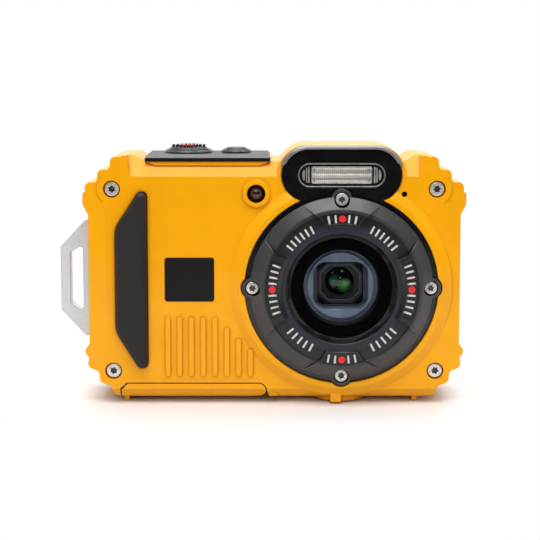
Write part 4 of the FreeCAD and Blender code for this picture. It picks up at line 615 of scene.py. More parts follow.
def seal_rubber(looks):
    """Dull black silicone."""
    finish = Finish("seal_rubber")
    finish.moulded(tone(34, 33, 33), 0.65, grain=0.2 * MM, spread=0.15)
    return finish.material


def steel(looks):
    """Bright steel, finely brushed, with small stains."""
    finish = Finish("steel")
    finish.set(
        Base_Color=finish.mottled(0.8 * MM, tone(222, 218, 214), tone(160, 152, 146), 0.5, 0.75, 4.0),
        Metallic=0.4,
        Roughness=finish.roughness(0.25 * MM, 0.18, 0.34),
    )
    finish.bump(finish.noise(0.1 * MM), 0.004 * MM, 0.5, 0.12 * MM)
    return finish.material


def recess_painted_shade(looks):
    """Steel painted darker in a screw's recess, as painted shade."""
    finish = Finish("recess_painted_shade")
    finish.set(
        Base_Color=finish.mottled(0.4 * MM, tone(112, 106, 102), tone(70, 64, 60), detail=4.0),
        Metallic=0.6,
        Roughness=finish.roughness(0.2 * MM, 0.4, 0.6),
    )
    finish.bump(finish.noise(0.1 * MM), 0.01 * MM, 0.5)
    return finish.material


def lug_metal(looks):
    """Pale satin metal, finely blasted, with painted shade along its edges."""
    finish = Finish("lug_metal")
    clean = finish.mottled(0.5 * MM, tone(212, 219, 229), tone(203, 210, 220))
    finish.set(
        # Painted shade: the edges are painted darker grey.
        Base_Color=finish.blend(finish.edges(0.35 * MM), clean, tone(128, 130, 134)),
        Metallic=0.1,
        Roughness=finish.roughness(1.5 * MM, 0.3, 0.42, 4.0),
    )
    finish.bump(finish.noise(0.12 * MM), 0.006 * MM, 0.6, 0.3 * MM)
    return finish.material


def pane(name, mirror, tint, waves):
    """A clear pane: a faint mirror that grows with the angle, and a trace of dust."""
    finish = Finish(name)
    dust = finish.clouds(0.5 * MM, 0.6, 0.8, 0, 0.01, 5.0)
    bend = finish.node("Fresnel", {"IOR": 1.3}).outputs[0]
    film = finish.work_out("ADD", finish.times(bend, 0.5), dust)
    front = finish.work_out("SUBTRACT", 1.0, finish.geometry("Backfacing"))
    surface_colour = tuple(mirror * channel for channel in tint)
    finish.set(
        Base_Color=finish.mottled(6 * MM, surface_colour, (mirror, mirror, mirror), 0.4, 0.6),
        Metallic=1.0,
        Roughness=finish.roughness(3 * MM, 0.0, 0.02),
        Alpha=finish.times(film, front),
    )
    finish.bump(finish.noise(waves, 1.0), 0.002 * MM, 0.3)
    return finish.material


def window_glass(looks):
    """The front window's coated glass."""
    return pane("window_glass", 0.03, tone(225, 228, 255), 12 * MM)


def clear_plastic(looks):
    """Water-clear moulded plastic."""
    return pane("clear_plastic", 0.3, tone(250, 250, 252), 4 * MM)


# A wave texture's scale for one wave to the metre.
WAVE_UNIT = math.pi / 10
RIB_PITCH = 0.55 * MM


def flash_white(looks):
    """The frosted block of the flash: level bands of shade, and fine upright ribs."""
    finish = Finish("flash_white")
    wave = finish.node(
        "TexWave", {"Vector": finish.place, "Scale": WAVE_UNIT / RIB_PITCH}, bands_direction="X"
    )
    ribs = finish.between(wave.outputs["Fac"], 0.3, 0.7)
    up = finish.work_out("SUBTRACT", finish.along("Z"), middle("flash_window").z)
    band_angle = finish.times(up, math.pi * looks.block_bands / looks.block_height)
    level = finish.work_out("COSINE", band_angle)
    pale = finish.mottled(1.5 * MM, tone(222, 220, 216), tone(196, 193, 188), 0.35, 0.65)
    banded = finish.blend(finish.between(level, -0.8, 0.8), tone(140, 132, 122), pale)
    finish.set(
        Base_Color=finish.blend(finish.times(ribs, 0.35), banded, tone(110, 104, 98)),
        Roughness=finish.roughness(0.4 * MM, 0.16, 0.3),
        Coat_Weight=0.3,
        Coat_Roughness=0.06,
    )
    finish.bump(ribs, 0.015 * MM, 0.4)
    return finish.material


def flash_clear(looks):
    """The pale moulded bars and rim of the flash."""
    finish = Finish("flash_clear")
    finish.set(
        Base_Color=finish.mottled(0.8 * MM, tone(198, 197, 196), tone(150, 149, 148), 0.35, 0.65),
        Roughness=finish.roughness(0.4 * MM, 0.12, 0.25),
        Metallic=0.35,
    )
    finish.bump(finish.noise(0.3 * MM), 0.01 * MM, 0.5)
    return finish.material


# The middles of the painted green and teal reflections on the lens, from the lens's middle.
GREEN_REFLECTION = Vector((1.5 * MM, 0, -1.4 * MM))
TEAL_REFLECTION = Vector((-1.3 * MM, 0, 0.1 * MM))
LENS_GLINTS = [
    # place across and up from the lens's middle, and radius, of each painted glint, in millimetres
    (0.8, 2.6, 0.34),
    (0.3, 0.75, 0.2),
    (0.15, -0.2, 0.16),
    (-1.9, 2.1, 0.14),
]


def lens_glass(looks):
    """Dark lens glass with painted reflections: a green and a teal patch, and small painted glints."""
    finish = Finish("lens_glass")
    eye = middle("front_lens")
    teal = finish.between(finish.from_axis(eye + TEAL_REFLECTION, "Y"), 1.9 * MM, 0.3 * MM)
    green = finish.between(finish.from_axis(eye + GREEN_REFLECTION, "Y"), 2.3 * MM, 0.2 * MM)
    cloudy_green = finish.times(finish.clouds(1.2 * MM, 0.3, 0.7, 0.7, 1.0, 1.0), green)
    # Painted reflections: teal and green patches in the lens's colour, then painted glints.
    surface_colour = finish.blend(teal, tone(12, 15, 17), tone(46, 84, 80))
    surface_colour = finish.blend(cloudy_green, surface_colour, tone(84, 158, 78))
    for across, up, size in LENS_GLINTS:
        near = finish.from_axis(eye + Vector((across * MM, 0, up * MM)), "Y")
        spot = finish.between(near, size * MM, 0.4 * size * MM)
        surface_colour = finish.blend(spot, surface_colour, tone(196, 240, 226))
    finish.set(
        Base_Color=surface_colour,
        Roughness=finish.roughness(1.5 * MM, 0.02, 0.05),
        Specular_IOR_Level=0.3,
        Coat_Weight=0.25,
        Coat_Roughness=0.02,
        Coat_Tint=(*tone(190, 250, 215), 1.0),
    )
    return finish.material


def baffle(name, shade):
    """A baffle in front of the lens, whose edges are painted pale as a painted highlight, with painted
    shade in its corners.
    """
    finish = Finish(name)
    finish.moulded(
        shade, 0.4, grain=0.15 * MM, depth=0.006 * MM, round_by=0.14 * MM,
        wear_and_highlight_colour=tone(150, 158, 175), wear_and_highlight_span=(0.3, 0.8), hollow_shade=tone(4, 4, 5), hollow_shade_reach=0.8 * MM,
    )
    return finish.material


def inner_black(looks):
    """Matte black moulding that kills stray light."""
    finish = Finish("inner_black")
    finish.moulded(tone(12, 12, 13), 0.7, grain=0.2 * MM, spread=0.2)
    finish.set(Specular_IOR_Level=0.2)
    return finish.material


def inner_grey(looks):
    """The lens unit: blue-grey and sparkling in front, and painted black with shade in its depth."""
    finish = Finish("inner_grey")
    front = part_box("lens_housing")[0].y
    sparkle = finish.between(finish.specks(0.35 * MM), 0.1, 0.32, 1, 0)
    glint = finish.blend(sparkle, tone(112, 124, 146), tone(158, 172, 198))
    cloudy = finish.mottled(5 * MM, glint, tone(98, 110, 134), 0.4, 0.6)
    # Painted shade: the unit turns near black deeper than its mouth.
    deep = finish.between(finish.along("Y"), front + 2.9 * MM, front + 3.3 * MM)
    finish.set(
        Base_Color=finish.blend(deep, cloudy, tone(14, 14, 16)),
        Roughness=finish.roughness(0.6 * MM, 0.34, 0.5),
        Metallic=0.2,
    )
    finish.bump(finish.specks(0.3 * MM), 0.01 * MM, 0.5, 0.15 * MM)
    return finish.material


def mirror_foil(looks):
    """Bright metallised plastic with slight ripples."""
    finish = Finish("mirror_foil")
    finish.set(
        Base_Color=finish.mottled(2 * MM, tone(232, 232, 234), tone(200, 201, 204), 0.4),
        Metallic=1.0,
        Roughness=finish.roughness(0.8 * MM, 0.1, 0.2),
    )
    finish.bump(finish.noise(1.2 * MM, 1.0), 0.02 * MM, 0.4)
    return finish.material


# Radii in the focus lamp, of its brightest circle and of its dark rim.
GLOW_RADIUS = 1.25 * MM
RIM_RADIUS = 1.5 * MM


def lamp_glass(looks):
    """Dark red-brown filter glass with a dark rim."""
    finish = Finish("lamp_glass")
    radius = finish.from_axis(middle("focus_lamp_window"), "Y")
    away = finish.between(finish.gap(radius, GLOW_RADIUS), 0.0, 0.3 * MM)
    brown = finish.blend(away, tone(120, 70, 44), tone(52, 24, 14))
    rim = finish.between(radius, RIM_RADIUS, RIM_RADIUS + 0.15 * MM)
    finish.set(
        Base_Color=finish.blend(rim, brown, tone(14, 8, 6)),
        Roughness=finish.roughness(1 * MM, 0.04, 0.1),
        Coat_Weight=0.8,
        Coat_Roughness=0.03,
    )
    return finish.material


def board_green(looks):
    """Solder mask with faint tracks under it."""
    finish = Finish("board_green")
    tracks = finish.node(
        "TexBrick",
        {"Vector": finish.place, "Scale": 220.0, "Mortar Size": 0.012, "Brick Width": 0.9},
    ).outputs["Fac"]
    finish.set(
        Base_Color=finish.blend(tracks, tone(14, 70, 44), tone(30, 104, 66)),
        Roughness=finish.roughness(1 * MM, 0.25, 0.4),
    )
    finish.bump(tracks, 0.03 * MM, 0.5)
    return finish.material


def contact_gold(looks):
    """Gold plate, a little scuffed."""
    finish = Finish("contact_gold")
    finish.set(
        Base_Color=finish.mottled(0.5 * MM, tone(228, 184, 92), tone(196, 150, 70), 0.4),
        Metallic=1.0,
        Roughness=finish.roughness(0.3 * MM, 0.2, 0.36),
    )
    finish.bump(finish.noise(0.2 * MM), 0.004 * MM, 0.6)
    return finish.material


def battery_wrap(looks):
    """The battery's grey shell."""
    finish = Finish("battery_wrap")
    finish.moulded(tone(52, 54, 58), 0.38, spread=0.1)
    return finish.material


def card_plastic(looks):
    """The card's dark blue plastic."""
    finish = Finish("card_plastic")
    finish.moulded(tone(24, 32, 52), 0.4, spread=0.1)
    return finish.material


def capacitor_sleeve(looks):
    """Shrink sleeve, dark blue and slightly creased."""
    finish = Finish("capacitor_sleeve")
    finish.moulded(tone(22, 26, 44), 0.3, grain=1.0 * MM, depth=0.03 * MM)
    return finish.material


def screen_glass(looks):
    """The rear window: black border, and a deep blue-black picture area."""
    finish = Finish("screen_glass")
    centre = middle("screen_panel")
    beyond = finish.work_out(
        "MAXIMUM",
        finish.work_out("SUBTRACT", finish.gap(finish.along("X"), centre.x), looks.picture_width / 2),
        finish.work_out("SUBTRACT", finish.gap(finish.along("Z"), centre.z), looks.picture_height / 2),
    )
    border = finish.between(beyond, -0.05 * MM, 0.05 * MM)
    picture = finish.mottled(12 * MM, tone(26, 28, 34), tone(22, 24, 30), 0.4, 0.6)
    finish.set(
        Base_Color=finish.blend(border, picture, tone(8, 8, 9)),
        Roughness=finish.clouds(6 * MM, 0.35, 0.7, 0.05, 0.12, 5.0),
        Specular_IOR_Level=0.3,
        Coat_Weight=0.15,
        Coat_Roughness=0.03,
    )
    return finish.material


# The circle that holds the shutter button's red studs.
STUD_CIRCLE = 2.25 * MM


def button_black(looks):
    """Black buttons; the shutter button's middle studs are red."""
    finish = Finish("button_black")
    finish.moulded(tone(30, 30, 32), 0.3, grain=0.15 * MM, depth=0.006 * MM, round_by=0.12 * MM)
    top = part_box("shutter_button")[1].z
    studs = finish.times(
        finish.inside(finish.from_axis(middle("shutter_button"), "Z"), STUD_CIRCLE, 0.1 * MM),
        finish.between(finish.along("Z"), top - 0.5 * MM, top - 0.42 * MM),
    )
    finish.set(Base_Color=finish.blend(studs, finish.colour(), tuple(looks.red_colour)))
    return finish.material


def key_rubber(looks):
    """The satin black of the rear keys."""
    finish = Finish("key_rubber")
    finish.moulded(tone(30, 30, 32), 0.42, grain=0.2 * MM, round_by=0.2 * MM)
    return finish.material


def paint(name, colour, rough=0.4, gloss=0.5):
    """Pad-printed ink, a little uneven; the grain of glossy ink shows more."""
    finish = Finish(name)
    thin = tuple(channel * 0.88 for channel in colour)
    finish.set(
        Base_Color=finish.mottled(0.5 * MM, colour, thin),
        Roughness=finish.roughness(0.3 * MM, rough, rough + 0.12),
        Specular_IOR_Level=gloss,
    )
    finish.bump(finish.noise(0.1 * MM), 0.004 * MM, gloss)
    return finish.material


# How far inside the object's two ends along an axis the floor starts to turn white.
FLOOR_INSET = {"X": 9 * MM, "Y": 0.0}


def floor_white(looks):
    """The pale floor: it keeps the shadow and turns plain white away from the object."""
    finish = Finish("floor_white")
    path = finish.node("LightPath").outputs
    pale = finish.mottled(0.4, (0.8, 0.795, 0.79), (0.78, 0.775, 0.77), 0.3)
    finish.set(
        Base_Color=finish.blend(path["Is Diffuse Ray"], pale, (0.68, 0.67, 0.66)),
        Roughness=finish.roughness(0.1, 0.55, 0.7),
    )
    low, high = CAD_BOX
    beyond = []
    for axis, (letter, inset) in enumerate(FLOOR_INSET.items()):
        away = finish.gap(finish.along(letter), (low[axis] + high[axis]) / 2)
        beyond.append(finish.work_out("SUBTRACT", away, (high[axis] - low[axis]) / 2 - inset))
    far = finish.between(finish.work_out("MAXIMUM", *beyond), 1 * MM, 20 * MM)
    mirrored = finish.times(path["Is Glossy Ray"], 0.2)
    seen = finish.work_out("MAXIMUM", path["Is Camera Ray"], mirrored)
    seen = finish.work_out("MAXIMUM", seen, path["Is Transmission Ray"])
    white = finish.node("Emission", {"Color": (1, 1, 1, 1), "Strength": 1.0}).outputs[0]
    mixed = finish.node("MixShader", {0: finish.times(seen, far), 1: finish.shader.outputs[0], 2: white})
    finish.give(finish.output.inputs["Surface"], mixed.outputs[0])
    return finish.material


# Each of these makes the slot of its own name.
OWN_SLOTS = (
    yellow_shell, seal_rubber, black_gloss, ring_metal, steel, window_glass, inner_black, clear_plastic,
    mirror_foil, capacitor_sleeve, lamp_glass, grip_rubber, board_green, lug_metal, inner_grey,
    battery_wrap, card_plastic, contact_gold, lens_glass, screen_glass, key_rubber,
)
SLOT_FINISHES = {"button_metal": button_black, **{maker.__name__: maker for maker in OWN_SLOTS}}
NODE_FINISHES = {
    "shutter_collar": collar_black,
    "power_collar": collar_black,
    "microphone": inner_black,
    "top_plate": plate_black,
}


# Sizes and colours that a user would change

class CameraLooks(bpy.types.PropertyGroup):
    """Sizes and colours of the finishes and the fine pieces"""

    shell_colour: FloatVectorProperty(
        name="Shell", description="Colour of the shell", subtype="COLOR",
        default=tone(249, 170, 1), min=0, max=1,
    )
    ring_colour: FloatVectorProperty(
        name="Ring", description="Colour of the lens ring", subtype="COLOR",
        default=tone(60, 59, 60), min=0, max=1,
    )
    red_colour: FloatVectorProperty(
        name="Red", description="Colour of the dots and the middle studs", subtype="COLOR",
        default=tone(232, 34, 38), min=0, max=1,
    )
    picture_width: FloatProperty(
        name="Picture width", description="Width of the visible picture on the rear screen",
        default=54 * MM, unit="LENGTH",
    )
    picture_height: FloatProperty(
        name="Picture height", description="Height of the visible picture on the rear screen",
        default=40.5 * MM, unit="LENGTH",
    )
    view_place: FloatVectorProperty(
        name="Viewpoint", description="Place of the camera that takes the picture",
        default=(-19.28 * MM, -318.2 * MM, 93.1 * MM), subtype="TRANSLATION", unit="LENGTH",
    )
    view_pitch: FloatProperty(
        name="Pitch", description="How far the view looks down",
        default=math.radians(5), subtype="ANGLE", unit="ROTATION",
    )
    view_lens: FloatProperty(
        name="Focal length", description="Focal length of the view in millimetres", default=77.07,
    )
    view_shift: FloatProperty(
        name="Shift", description="Vertical lens shift of the view", default=-0.198,
    )

    tick_length: FloatProperty(
        name="Tick length", description="Length of a tick on the lens ring",
        default=2.2 * MM, unit="LENGTH",
    )
    tick_width: FloatProperty(
        name="Tick width", description="Width of a tick on the lens ring",
        default=0.52 * MM, unit="LENGTH",
    )
    dot_radius: FloatProperty(
        name="Dot radius", description="Radius of a red dot", default=0.95 * MM, unit="LENGTH",
    )
    window_radius: FloatProperty(
        name="Window radius", description="Outer radius of the black ring behind the window",
        default=15.0 * MM, unit="LENGTH",
    )
    opening_radius: FloatProperty(
        name="Opening radius", description="Radius of the clear opening in that ring",
        default=10.45 * MM, unit="LENGTH",
    )
    liner_radius: FloatProperty(
        name="Liner radius", description="Outer radius of the liner behind the window",
        default=13.2 * MM, unit="LENGTH",
    )
    mouth_deep: FloatProperty(
        name="Mouth depth", description="Depth of the mouth in front of the lens",
        default=3.2 * MM, unit="LENGTH",
    )
    corner_head: FloatProperty(
        name="Corner head", description="Radius of the heads of the corner screws",
        default=2.0 * MM, unit="LENGTH",
    )
    ring_head: FloatProperty(
        name="Ring head", description="Radius of the heads of the ring's screws",
        default=1.7 * MM, unit="LENGTH",
    )
    lug_head: FloatProperty(
        name="Lug head", description="Radius of the heads of the strap lug's screws",
        default=1.3 * MM, unit="LENGTH",
    )
    lamp_lens: FloatProperty(
        name="Lamp lens", description="Radius of the domed lens of the focus lamp",
        default=1.1 * MM, unit="LENGTH",
    )
    flash_half: FloatProperty(
        name="Flash half", description="Distance from the lens axis to the middle of a flash end",
        default=9.2 * MM, unit="LENGTH",
    )
    block_width: FloatProperty(
        name="Block width", description="Width of the ribbed block of the flash",
        default=16.3 * MM, unit="LENGTH",
    )
    block_height: FloatProperty(
        name="Block height", description="Height of the ribbed block of the flash",
        default=4.65 * MM, unit="LENGTH",
    )
    block_bands: IntProperty(
        name="Block bands", description="Number of level ribs on that block", default=5,
    )
    plate_size: FloatVectorProperty(
        name="Plate size", description="Width and height of the bare black plate", size=2,
        default=(13.4 * MM, 12.0 * MM), unit="LENGTH",
    )
    plate_place: FloatVectorProperty(
        name="Plate place", description="Place of the bare plate along X and Z", size=2,
        default=(-41.1 * MM, 34.4 * MM), unit="LENGTH",
    )
    sign_size: FloatProperty(
        name="Sign size", description="Half the width of the signs on the keys",
        default=1.2 * MM, unit="LENGTH",
    )
    arrow_radius: FloatProperty(
        name="Arrow radius", description="Distance of the arrows from the pad's middle",
        default=6.6 * MM, unit="LENGTH",
    )
    zoom_reach: FloatProperty(
        name="Zoom signs", description="Distance of the zoom signs from the rocker's middle",
        default=5.2 * MM, unit="LENGTH",
    )
    thread_pitch: FloatProperty(
        name="Thread pitch", description="Pitch of the tripod thread",
        default=1.27 * MM, unit="LENGTH",
    )
    thread_bore: FloatProperty(
        name="Thread bore", description="Radius of the tripod thread's bore",
        default=2.55 * MM, unit="LENGTH",
    )
    thread_length: FloatProperty(
        name="Thread length", description="Depth of the tripod thread",
        default=5.5 * MM, unit="LENGTH",
    )


# The solids and the stage

class CAMERA_OT_finish_nodes(bpy.types.Operator):
    """Give every solid of the frame the finish of its material slot"""

    bl_idname = "camera.finish_nodes"
    bl_label = "Finish the solids"

    def execute(self, context):
        made = {}
        for row in frame["record"]["subparts"]:
            node = NODES[row["node"]]
            maker = NODE_FINISHES.get(row["node"], SLOT_FINISHES[row["material_slot"]])
            if maker not in made:
                made[maker] = maker(context.scene.camera_looks)
            if not node.material_slots:
                node.data.materials.append(made[maker])
            for slot in node.material_slots:
                slot.material = made[maker]
        return {"FINISHED"}


FLOOR_WIDE = 3.2
FLOOR_NEAR = -0.18
FLOOR_FAR = 1.4
LAMPS = [
    # name, place and aim in metres, watts, width and height in metres
    ("key_light", (-0.04, -0.3, 0.82), (-0.02, 0, 0.03), 6.2, (0.8, 0.5)),
    ("fill_light", (-0.1, -0.7, 0.55), (-0.02, 0, 0.03), 1.2, (0.4, 0.3)),
    ("back_light", (0.0, 0.35, 0.78), (-0.02, 0, 0.04), 5.0, (0.8, 0.5)),
]
# The light of the surroundings: what gloss sees in front and behind, and what falls on the
# object from below and from above.
GLOSS_FRONT, GLOSS_BACK = 0.03, 1.0
SOFT_LOW, SOFT_HIGH = 0.12, 0.5


class CAMERA_OT_stage(bpy.types.Operator):
    """Set up the floor, the soft lights, the white surroundings and the view"""

    bl_idname = "camera.stage"
    bl_label = "Stage"

    def execute(self, context):
        looks = context.scene.camera_looks
        floor = plate("floor", FLOOR_WIDE, FLOOR_FAR - FLOOR_NEAR)
        turned(floor, 0, (0, (FLOOR_FAR + FLOOR_NEAR) / 2))
        floor.data.materials.append(floor_white(looks))
        for lamp in LAMPS:
            self.lamp(context, *lamp)
        self.surroundings(context)
        self.view(context, looks)
        context.scene.view_settings.view_transform = "Standard"
        return {"FINISHED"}

    def lamp(self, context, name, place, aim, energy, size):
        """A lamp aimed at a point."""
        data = bpy.data.lights.new(name, "AREA")
        data.energy = energy
        data.shape = "RECTANGLE"
        data.size, data.size_y = size
        made = bpy.data.objects.new(name, data)
        made.location = place
        made.rotation_euler = (Vector(aim) - Vector(place)).to_track_quat("-Z", "Y").to_euler()
        context.scene.collection.objects.link(made)

    def surroundings(self, context):
        """White all round to the eye; gloss sees a dark studio in front, and less light is low."""
        world = bpy.data.worlds.new("surroundings")
        context.scene.world = world
        nodes = Nodes(world)
        path = nodes.node("LightPath").outputs
        way = nodes.node("SeparateXYZ", {0: nodes.node("TexCoord").outputs["Generated"]}).outputs
        back_and_up = nodes.work_out("ADD", way["Y"], nodes.times(way["Z"], 0.9))
        gloss = nodes.between(back_and_up, -0.15, 0.35, GLOSS_FRONT, GLOSS_BACK)
        soft = nodes.between(way["Z"], -0.3, 0.4, SOFT_LOW, SOFT_HIGH)
        light = nodes.choose(path["Is Glossy Ray"], soft, gloss)
        seen = nodes.work_out("MAXIMUM", path["Is Camera Ray"], path["Is Transmission Ray"])
        strength = nodes.choose(seen, light, 1.0)
        shade = nodes.node("Background", {"Color": (1, 1, 1, 1), "Strength": strength})
        nodes.node("OutputWorld", {"Surface": shade.outputs[0]})

    def view(self, context, looks):
        """The camera of the main picture."""
        data = bpy.data.cameras.new("view")
        data.lens = looks.view_lens
        data.shift_y = looks.view_shift
        data.clip_start = 0.01
        made = bpy.data.objects.new("view", data)
        made.location = looks.view_place
        made.rotation_euler = (math.pi / 2 - looks.view_pitch, 0, 0)
        context.scene.collection.objects.link(made)
        context.scene.camera = made


# The lens

DIAL_SECTIONS = [
    # middle in degrees, ticks on each side of it, pitch, radius of the ticks, a dot in the middle
    (90, 2, 5.4, 19.1 * MM, True),
    (270, 2, 5.4, 19.1 * MM, True),
    (0, 4, 4.95, 18.65 * MM, True),
    (180, 4, 4.95, 18.65 * MM, True),
    (129, 3, 4.9, 17.9 * MM, False),
    (51, 3, 4.9, 17.9 * MM, False),
    (231, 2.5, 5.75, 17.9 * MM, False),
    (309, 2.5, 5.75, 17.9 * MM, False),
]


def tick_steps(count, dot):
    """The places of a section's ticks, in pitches from its middle."""
    if dot:
        return [step for step in range(-count, count + 1) if step]
    return [step - count + 0.5 for step in range(round(2 * count))]


def polar(radius, degrees):
    """A point in front of the lens ring."""
    angle = math.radians(degrees)
    return (LENS.x + radius * math.cos(angle), IN_FRONT, LENS.z + radius * math.sin(angle))


class CAMERA_OT_dial(bpy.types.Operator):
    """Print the white ticks and the red dots on the lens ring"""

    bl_idname = "camera.dial"
    bl_label = "Ticks and dots"

    def execute(self, context):
        looks = context.scene.camera_looks
        pattern = bar("tick", looks.tick_length, looks.tick_width)
        ticks = []
        dots = []
        for centre, count, pitch, radius, dot in DIAL_SECTIONS:
            for step in tick_steps(count, dot):
                angle = centre + step * pitch
                tick = copy_of(pattern, "tick_copy")
                ticks.append(lay(tick, polar(radius, angle), turn=math.radians(angle - 90)))
            if dot:
                dots.append(lay(disc("dot", looks.dot_radius), polar(radius, centre)))
        bpy.data.objects.remove(pattern)
        for name, parts, ink in (
            ("dial_ticks", ticks, paint("ink_white", tone(208, 208, 206))),
            ("dial_dots", dots, paint("ink_red", tuple(looks.red_colour))),
        ):
            marks = join(name, parts)
            print_on(marks, "lens_ring")
            done(marks, ink)
        return {"FINISHED"}


# Gaps behind the window, to its printed ring and to the liner, and from the liner to the mask.
PRINT_GAP = 0.08 * MM
LINER_GAP = 0.2 * MM
MASK_GAP = 0.05 * MM


class CAMERA_OT_window_print(bpy.types.Operator):
    """Print the black ring behind the front window"""

    bl_idname = "camera.window_print"
    bl_label = "Window ring"

    def execute(self, context):
        looks = context.scene.camera_looks
        ring = round_plate("window_ring", looks.window_radius, 96)
        open_middle(ring, looks.window_radius - looks.opening_radius)
        thicken(ring, 0.06 * MM)
        lay(ring, (LENS.x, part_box("lens_window")[1].y + PRINT_GAP, LENS.z))
        done(ring, paint("ink_black", tone(4, 4, 4), 0.4, 0.02))
        return {"FINISHED"}


LENS_FRAMES = [
    # width, height, size of the slanted corners, width of the frame and distance behind the
    # mouth's floor, in millimetres
    (12.4, 11.4, 2.6, 0.55, 0.5),
    (11.5, 10.5, 2.6, 0.5, 1.2),
    (10.7, 9.7, 2.8, 0.5, 1.9),
]
LENS_COLLARS = [
    # outer radius, width and distance behind the mouth's floor, in millimetres
    (5.3, 0.55, 2.5),
    (4.85, 0.45, 3.0),
    (4.4, 0.45, 3.5),
]
FRAME_THICK = 0.4 * MM
FRAME_ROUNDING = 0.08 * MM
LINER_WALL = 0.3 * MM


class CAMERA_OT_lens_frames(bpy.types.Operator):
    """Nest the baffles and the collars in front of the lens, and line the space before them"""

    bl_idname = "camera.lens_frames"
    bl_label = "Lens frames"

    def execute(self, context):
        looks = context.scene.camera_looks
        pale = baffle("baffle_pale", tone(84, 92, 110))
        black = baffle("baffle_black", tone(16, 16, 18))
        self.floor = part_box("lens_housing")[0].y + looks.mouth_deep
        for number, (wide, tall, corner, width, back) in enumerate(LENS_FRAMES, start=1):
            outline = slanted("lens_frame_%d" % number, wide * MM, tall * MM, corner * MM)
            self.nest(outline, width * MM, back * MM, pale if number == 2 else black)
        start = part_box("lens_window")[1].y + LINER_GAP
        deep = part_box("window_mask")[0].y - MASK_GAP - start
        liner = round_plate("window_liner", looks.liner_radius, 96)
        self.nest(liner, LINER_WALL, start - self.floor, black, deep)
        for number, (radius, width, back) in enumerate(LENS_COLLARS, start=1):
            outline = round_plate("lens_collar_%d" % number, radius * MM, 64)
            self.nest(outline, width * MM, back * MM, black)
        return {"FINISHED"}

    def nest(self, outline, width, back, material, thick=FRAME_THICK):
        """Makes a frame of an outline and sets it behind the mouth's floor, on the lens axis."""
        eye = middle("front_lens")
        frame_of(outline, width, thick, FRAME_ROUNDING)
        done(lay(outline, (eye.x, self.floor + back, eye.z)), material)


# Screws

# Shares of a screw head's radius, for its recess's reach and for its very middle.
RECESS = 0.56
CENTRE = 0.05
LOBE_STEP = 7.5
LOBES = [
    # steps of LOBE_STEP degrees from the nearest lobe, and how far the recess's rim is pushed out
    (0, 1.14),
    (1, 1.06),
    (2, 0.94),
    (3, 0.84),
    (4, 0.8),
]


def lobe_step(point):
    """How far round a point stands from the nearest of six lobes, in steps."""
    angle = math.degrees(math.atan2(point.y, point.x)) % 60
    return round(min(angle, 60 - angle) / LOBE_STEP)


def lobed_screw(name, head, rise, shank, long):
    """A flat screw that faces up: a rounded head with a six-lobed recess, and its shank."""
    rest()
    bpy.ops.mesh.primitive_cylinder_add(vertices=48, radius=head, depth=rise, location=(0, 0, -rise / 2))
    piece = settle(named(name))

    def near_axis(point, share):
        return math.hypot(point.x, point.y) < head * share

    pick(piece, "EDGE", lambda first, second: min(first.z, second.z) > -rise / 4)
    bpy.ops.mesh.bevel(offset=rise * 0.22, segments=3)
    pick(piece, "FACE", lambda centre, normal: normal.z > 0.99 and near_axis(centre, CENTRE))
    bpy.ops.mesh.inset(thickness=head * 0.22)
    bpy.ops.mesh.inset(thickness=head * 0.16)
    for step, push in LOBES:
        pick(piece, "VERT", lambda point: (
            point.z > -rise / 9 and near_axis(point, RECESS) and lobe_step(point) == step
        ))
        stretch(push, push)
    pick(piece, "FACE", lambda centre, normal: normal.z > 0.99 and near_axis(centre, CENTRE))
    bpy.ops.mesh.extrude_region_move(TRANSFORM_OT_translate={"value": (0, 0, -rise * 0.6)})
    stretch(0.9, 0.9)
    piece.data.materials.append(None)
    piece.data.materials.append(None)
    # The recess's faces take the second material, which paints shade into it.
    pick(piece, "FACE", lambda centre, normal: (
        -rise * 0.65 < centre.z < -rise * 0.1 and near_axis(centre, RECESS)
    ))
    piece.active_material_index = 1
    bpy.ops.object.material_slot_assign()
    pick(piece, "FACE", lambda centre, normal: normal.z < -0.99)
    bpy.ops.mesh.inset(thickness=head - shank)
    bpy.ops.mesh.extrude_region_move(TRANSFORM_OT_translate={"value": (0, 0, -long)})
    rest()
    smooth(piece, 35)
    return piece


class CAMERA_OT_screws(bpy.types.Operator):
    """Set recessed screws in place of the plain ones"""

    bl_idname = "camera.screws"
    bl_label = "Screws"

    def execute(self, context):
        looks = context.scene.camera_looks
        self.metal = finish_of("corner_screws")
        self.recess = recess_painted_shade(looks)
        low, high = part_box("corner_screws")
        head = looks.corner_head
        places = [
            (x, low.y, z)
            for x in (low.x + head, high.x - head)
            for z in (low.z + head, high.z - head)
        ]
        self.copies("corner_screws", "corner_screw", places, head, rise=1.4 * MM, shank=1 * MM)
        low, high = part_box("lens_ring_screws")
        centre = middle("lens_ring_screws")
        head = looks.ring_head
        places = [
            (centre.x, low.y, low.z + head),
            (centre.x, low.y, high.z - head),
            (low.x + head, low.y, centre.z),
            (high.x - head, low.y, centre.z),
        ]
        self.copies("lens_ring_screws", "ring_screw", places, head, rise=0.9 * MM, shank=0.8 * MM)
        low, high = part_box("strap_lug_screws")
        head = looks.lug_head
        side = middle("strap_lug_screws").y
        places = [(low.x, side, low.z + head), (low.x, side, high.z - head)]
        self.copies("strap_lug_screws", "lug_screw", places, head, rise=0.7 * MM, shank=0.8 * MM,
                    facing="left")
        return {"FINISHED"}

    def copies(self, node, name, places, head, rise, shank, facing="front"):
        """Models a screw as long as its node is deep, and sets a copy at each place."""
        low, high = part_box(node)
        deep = high.x - low.x if facing == "left" else high.y - low.y
        pattern = lobed_screw(name, head, rise, shank, deep - rise)
        for number, spot in enumerate(places, start=1):
            piece = copy_of(pattern, "%s_%d" % (name, number))
            lay(piece, spot, facing, math.radians(17 * number))
            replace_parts(done(piece, self.metal, second=self.recess), node)
        bpy.data.objects.remove(pattern)


# The flash

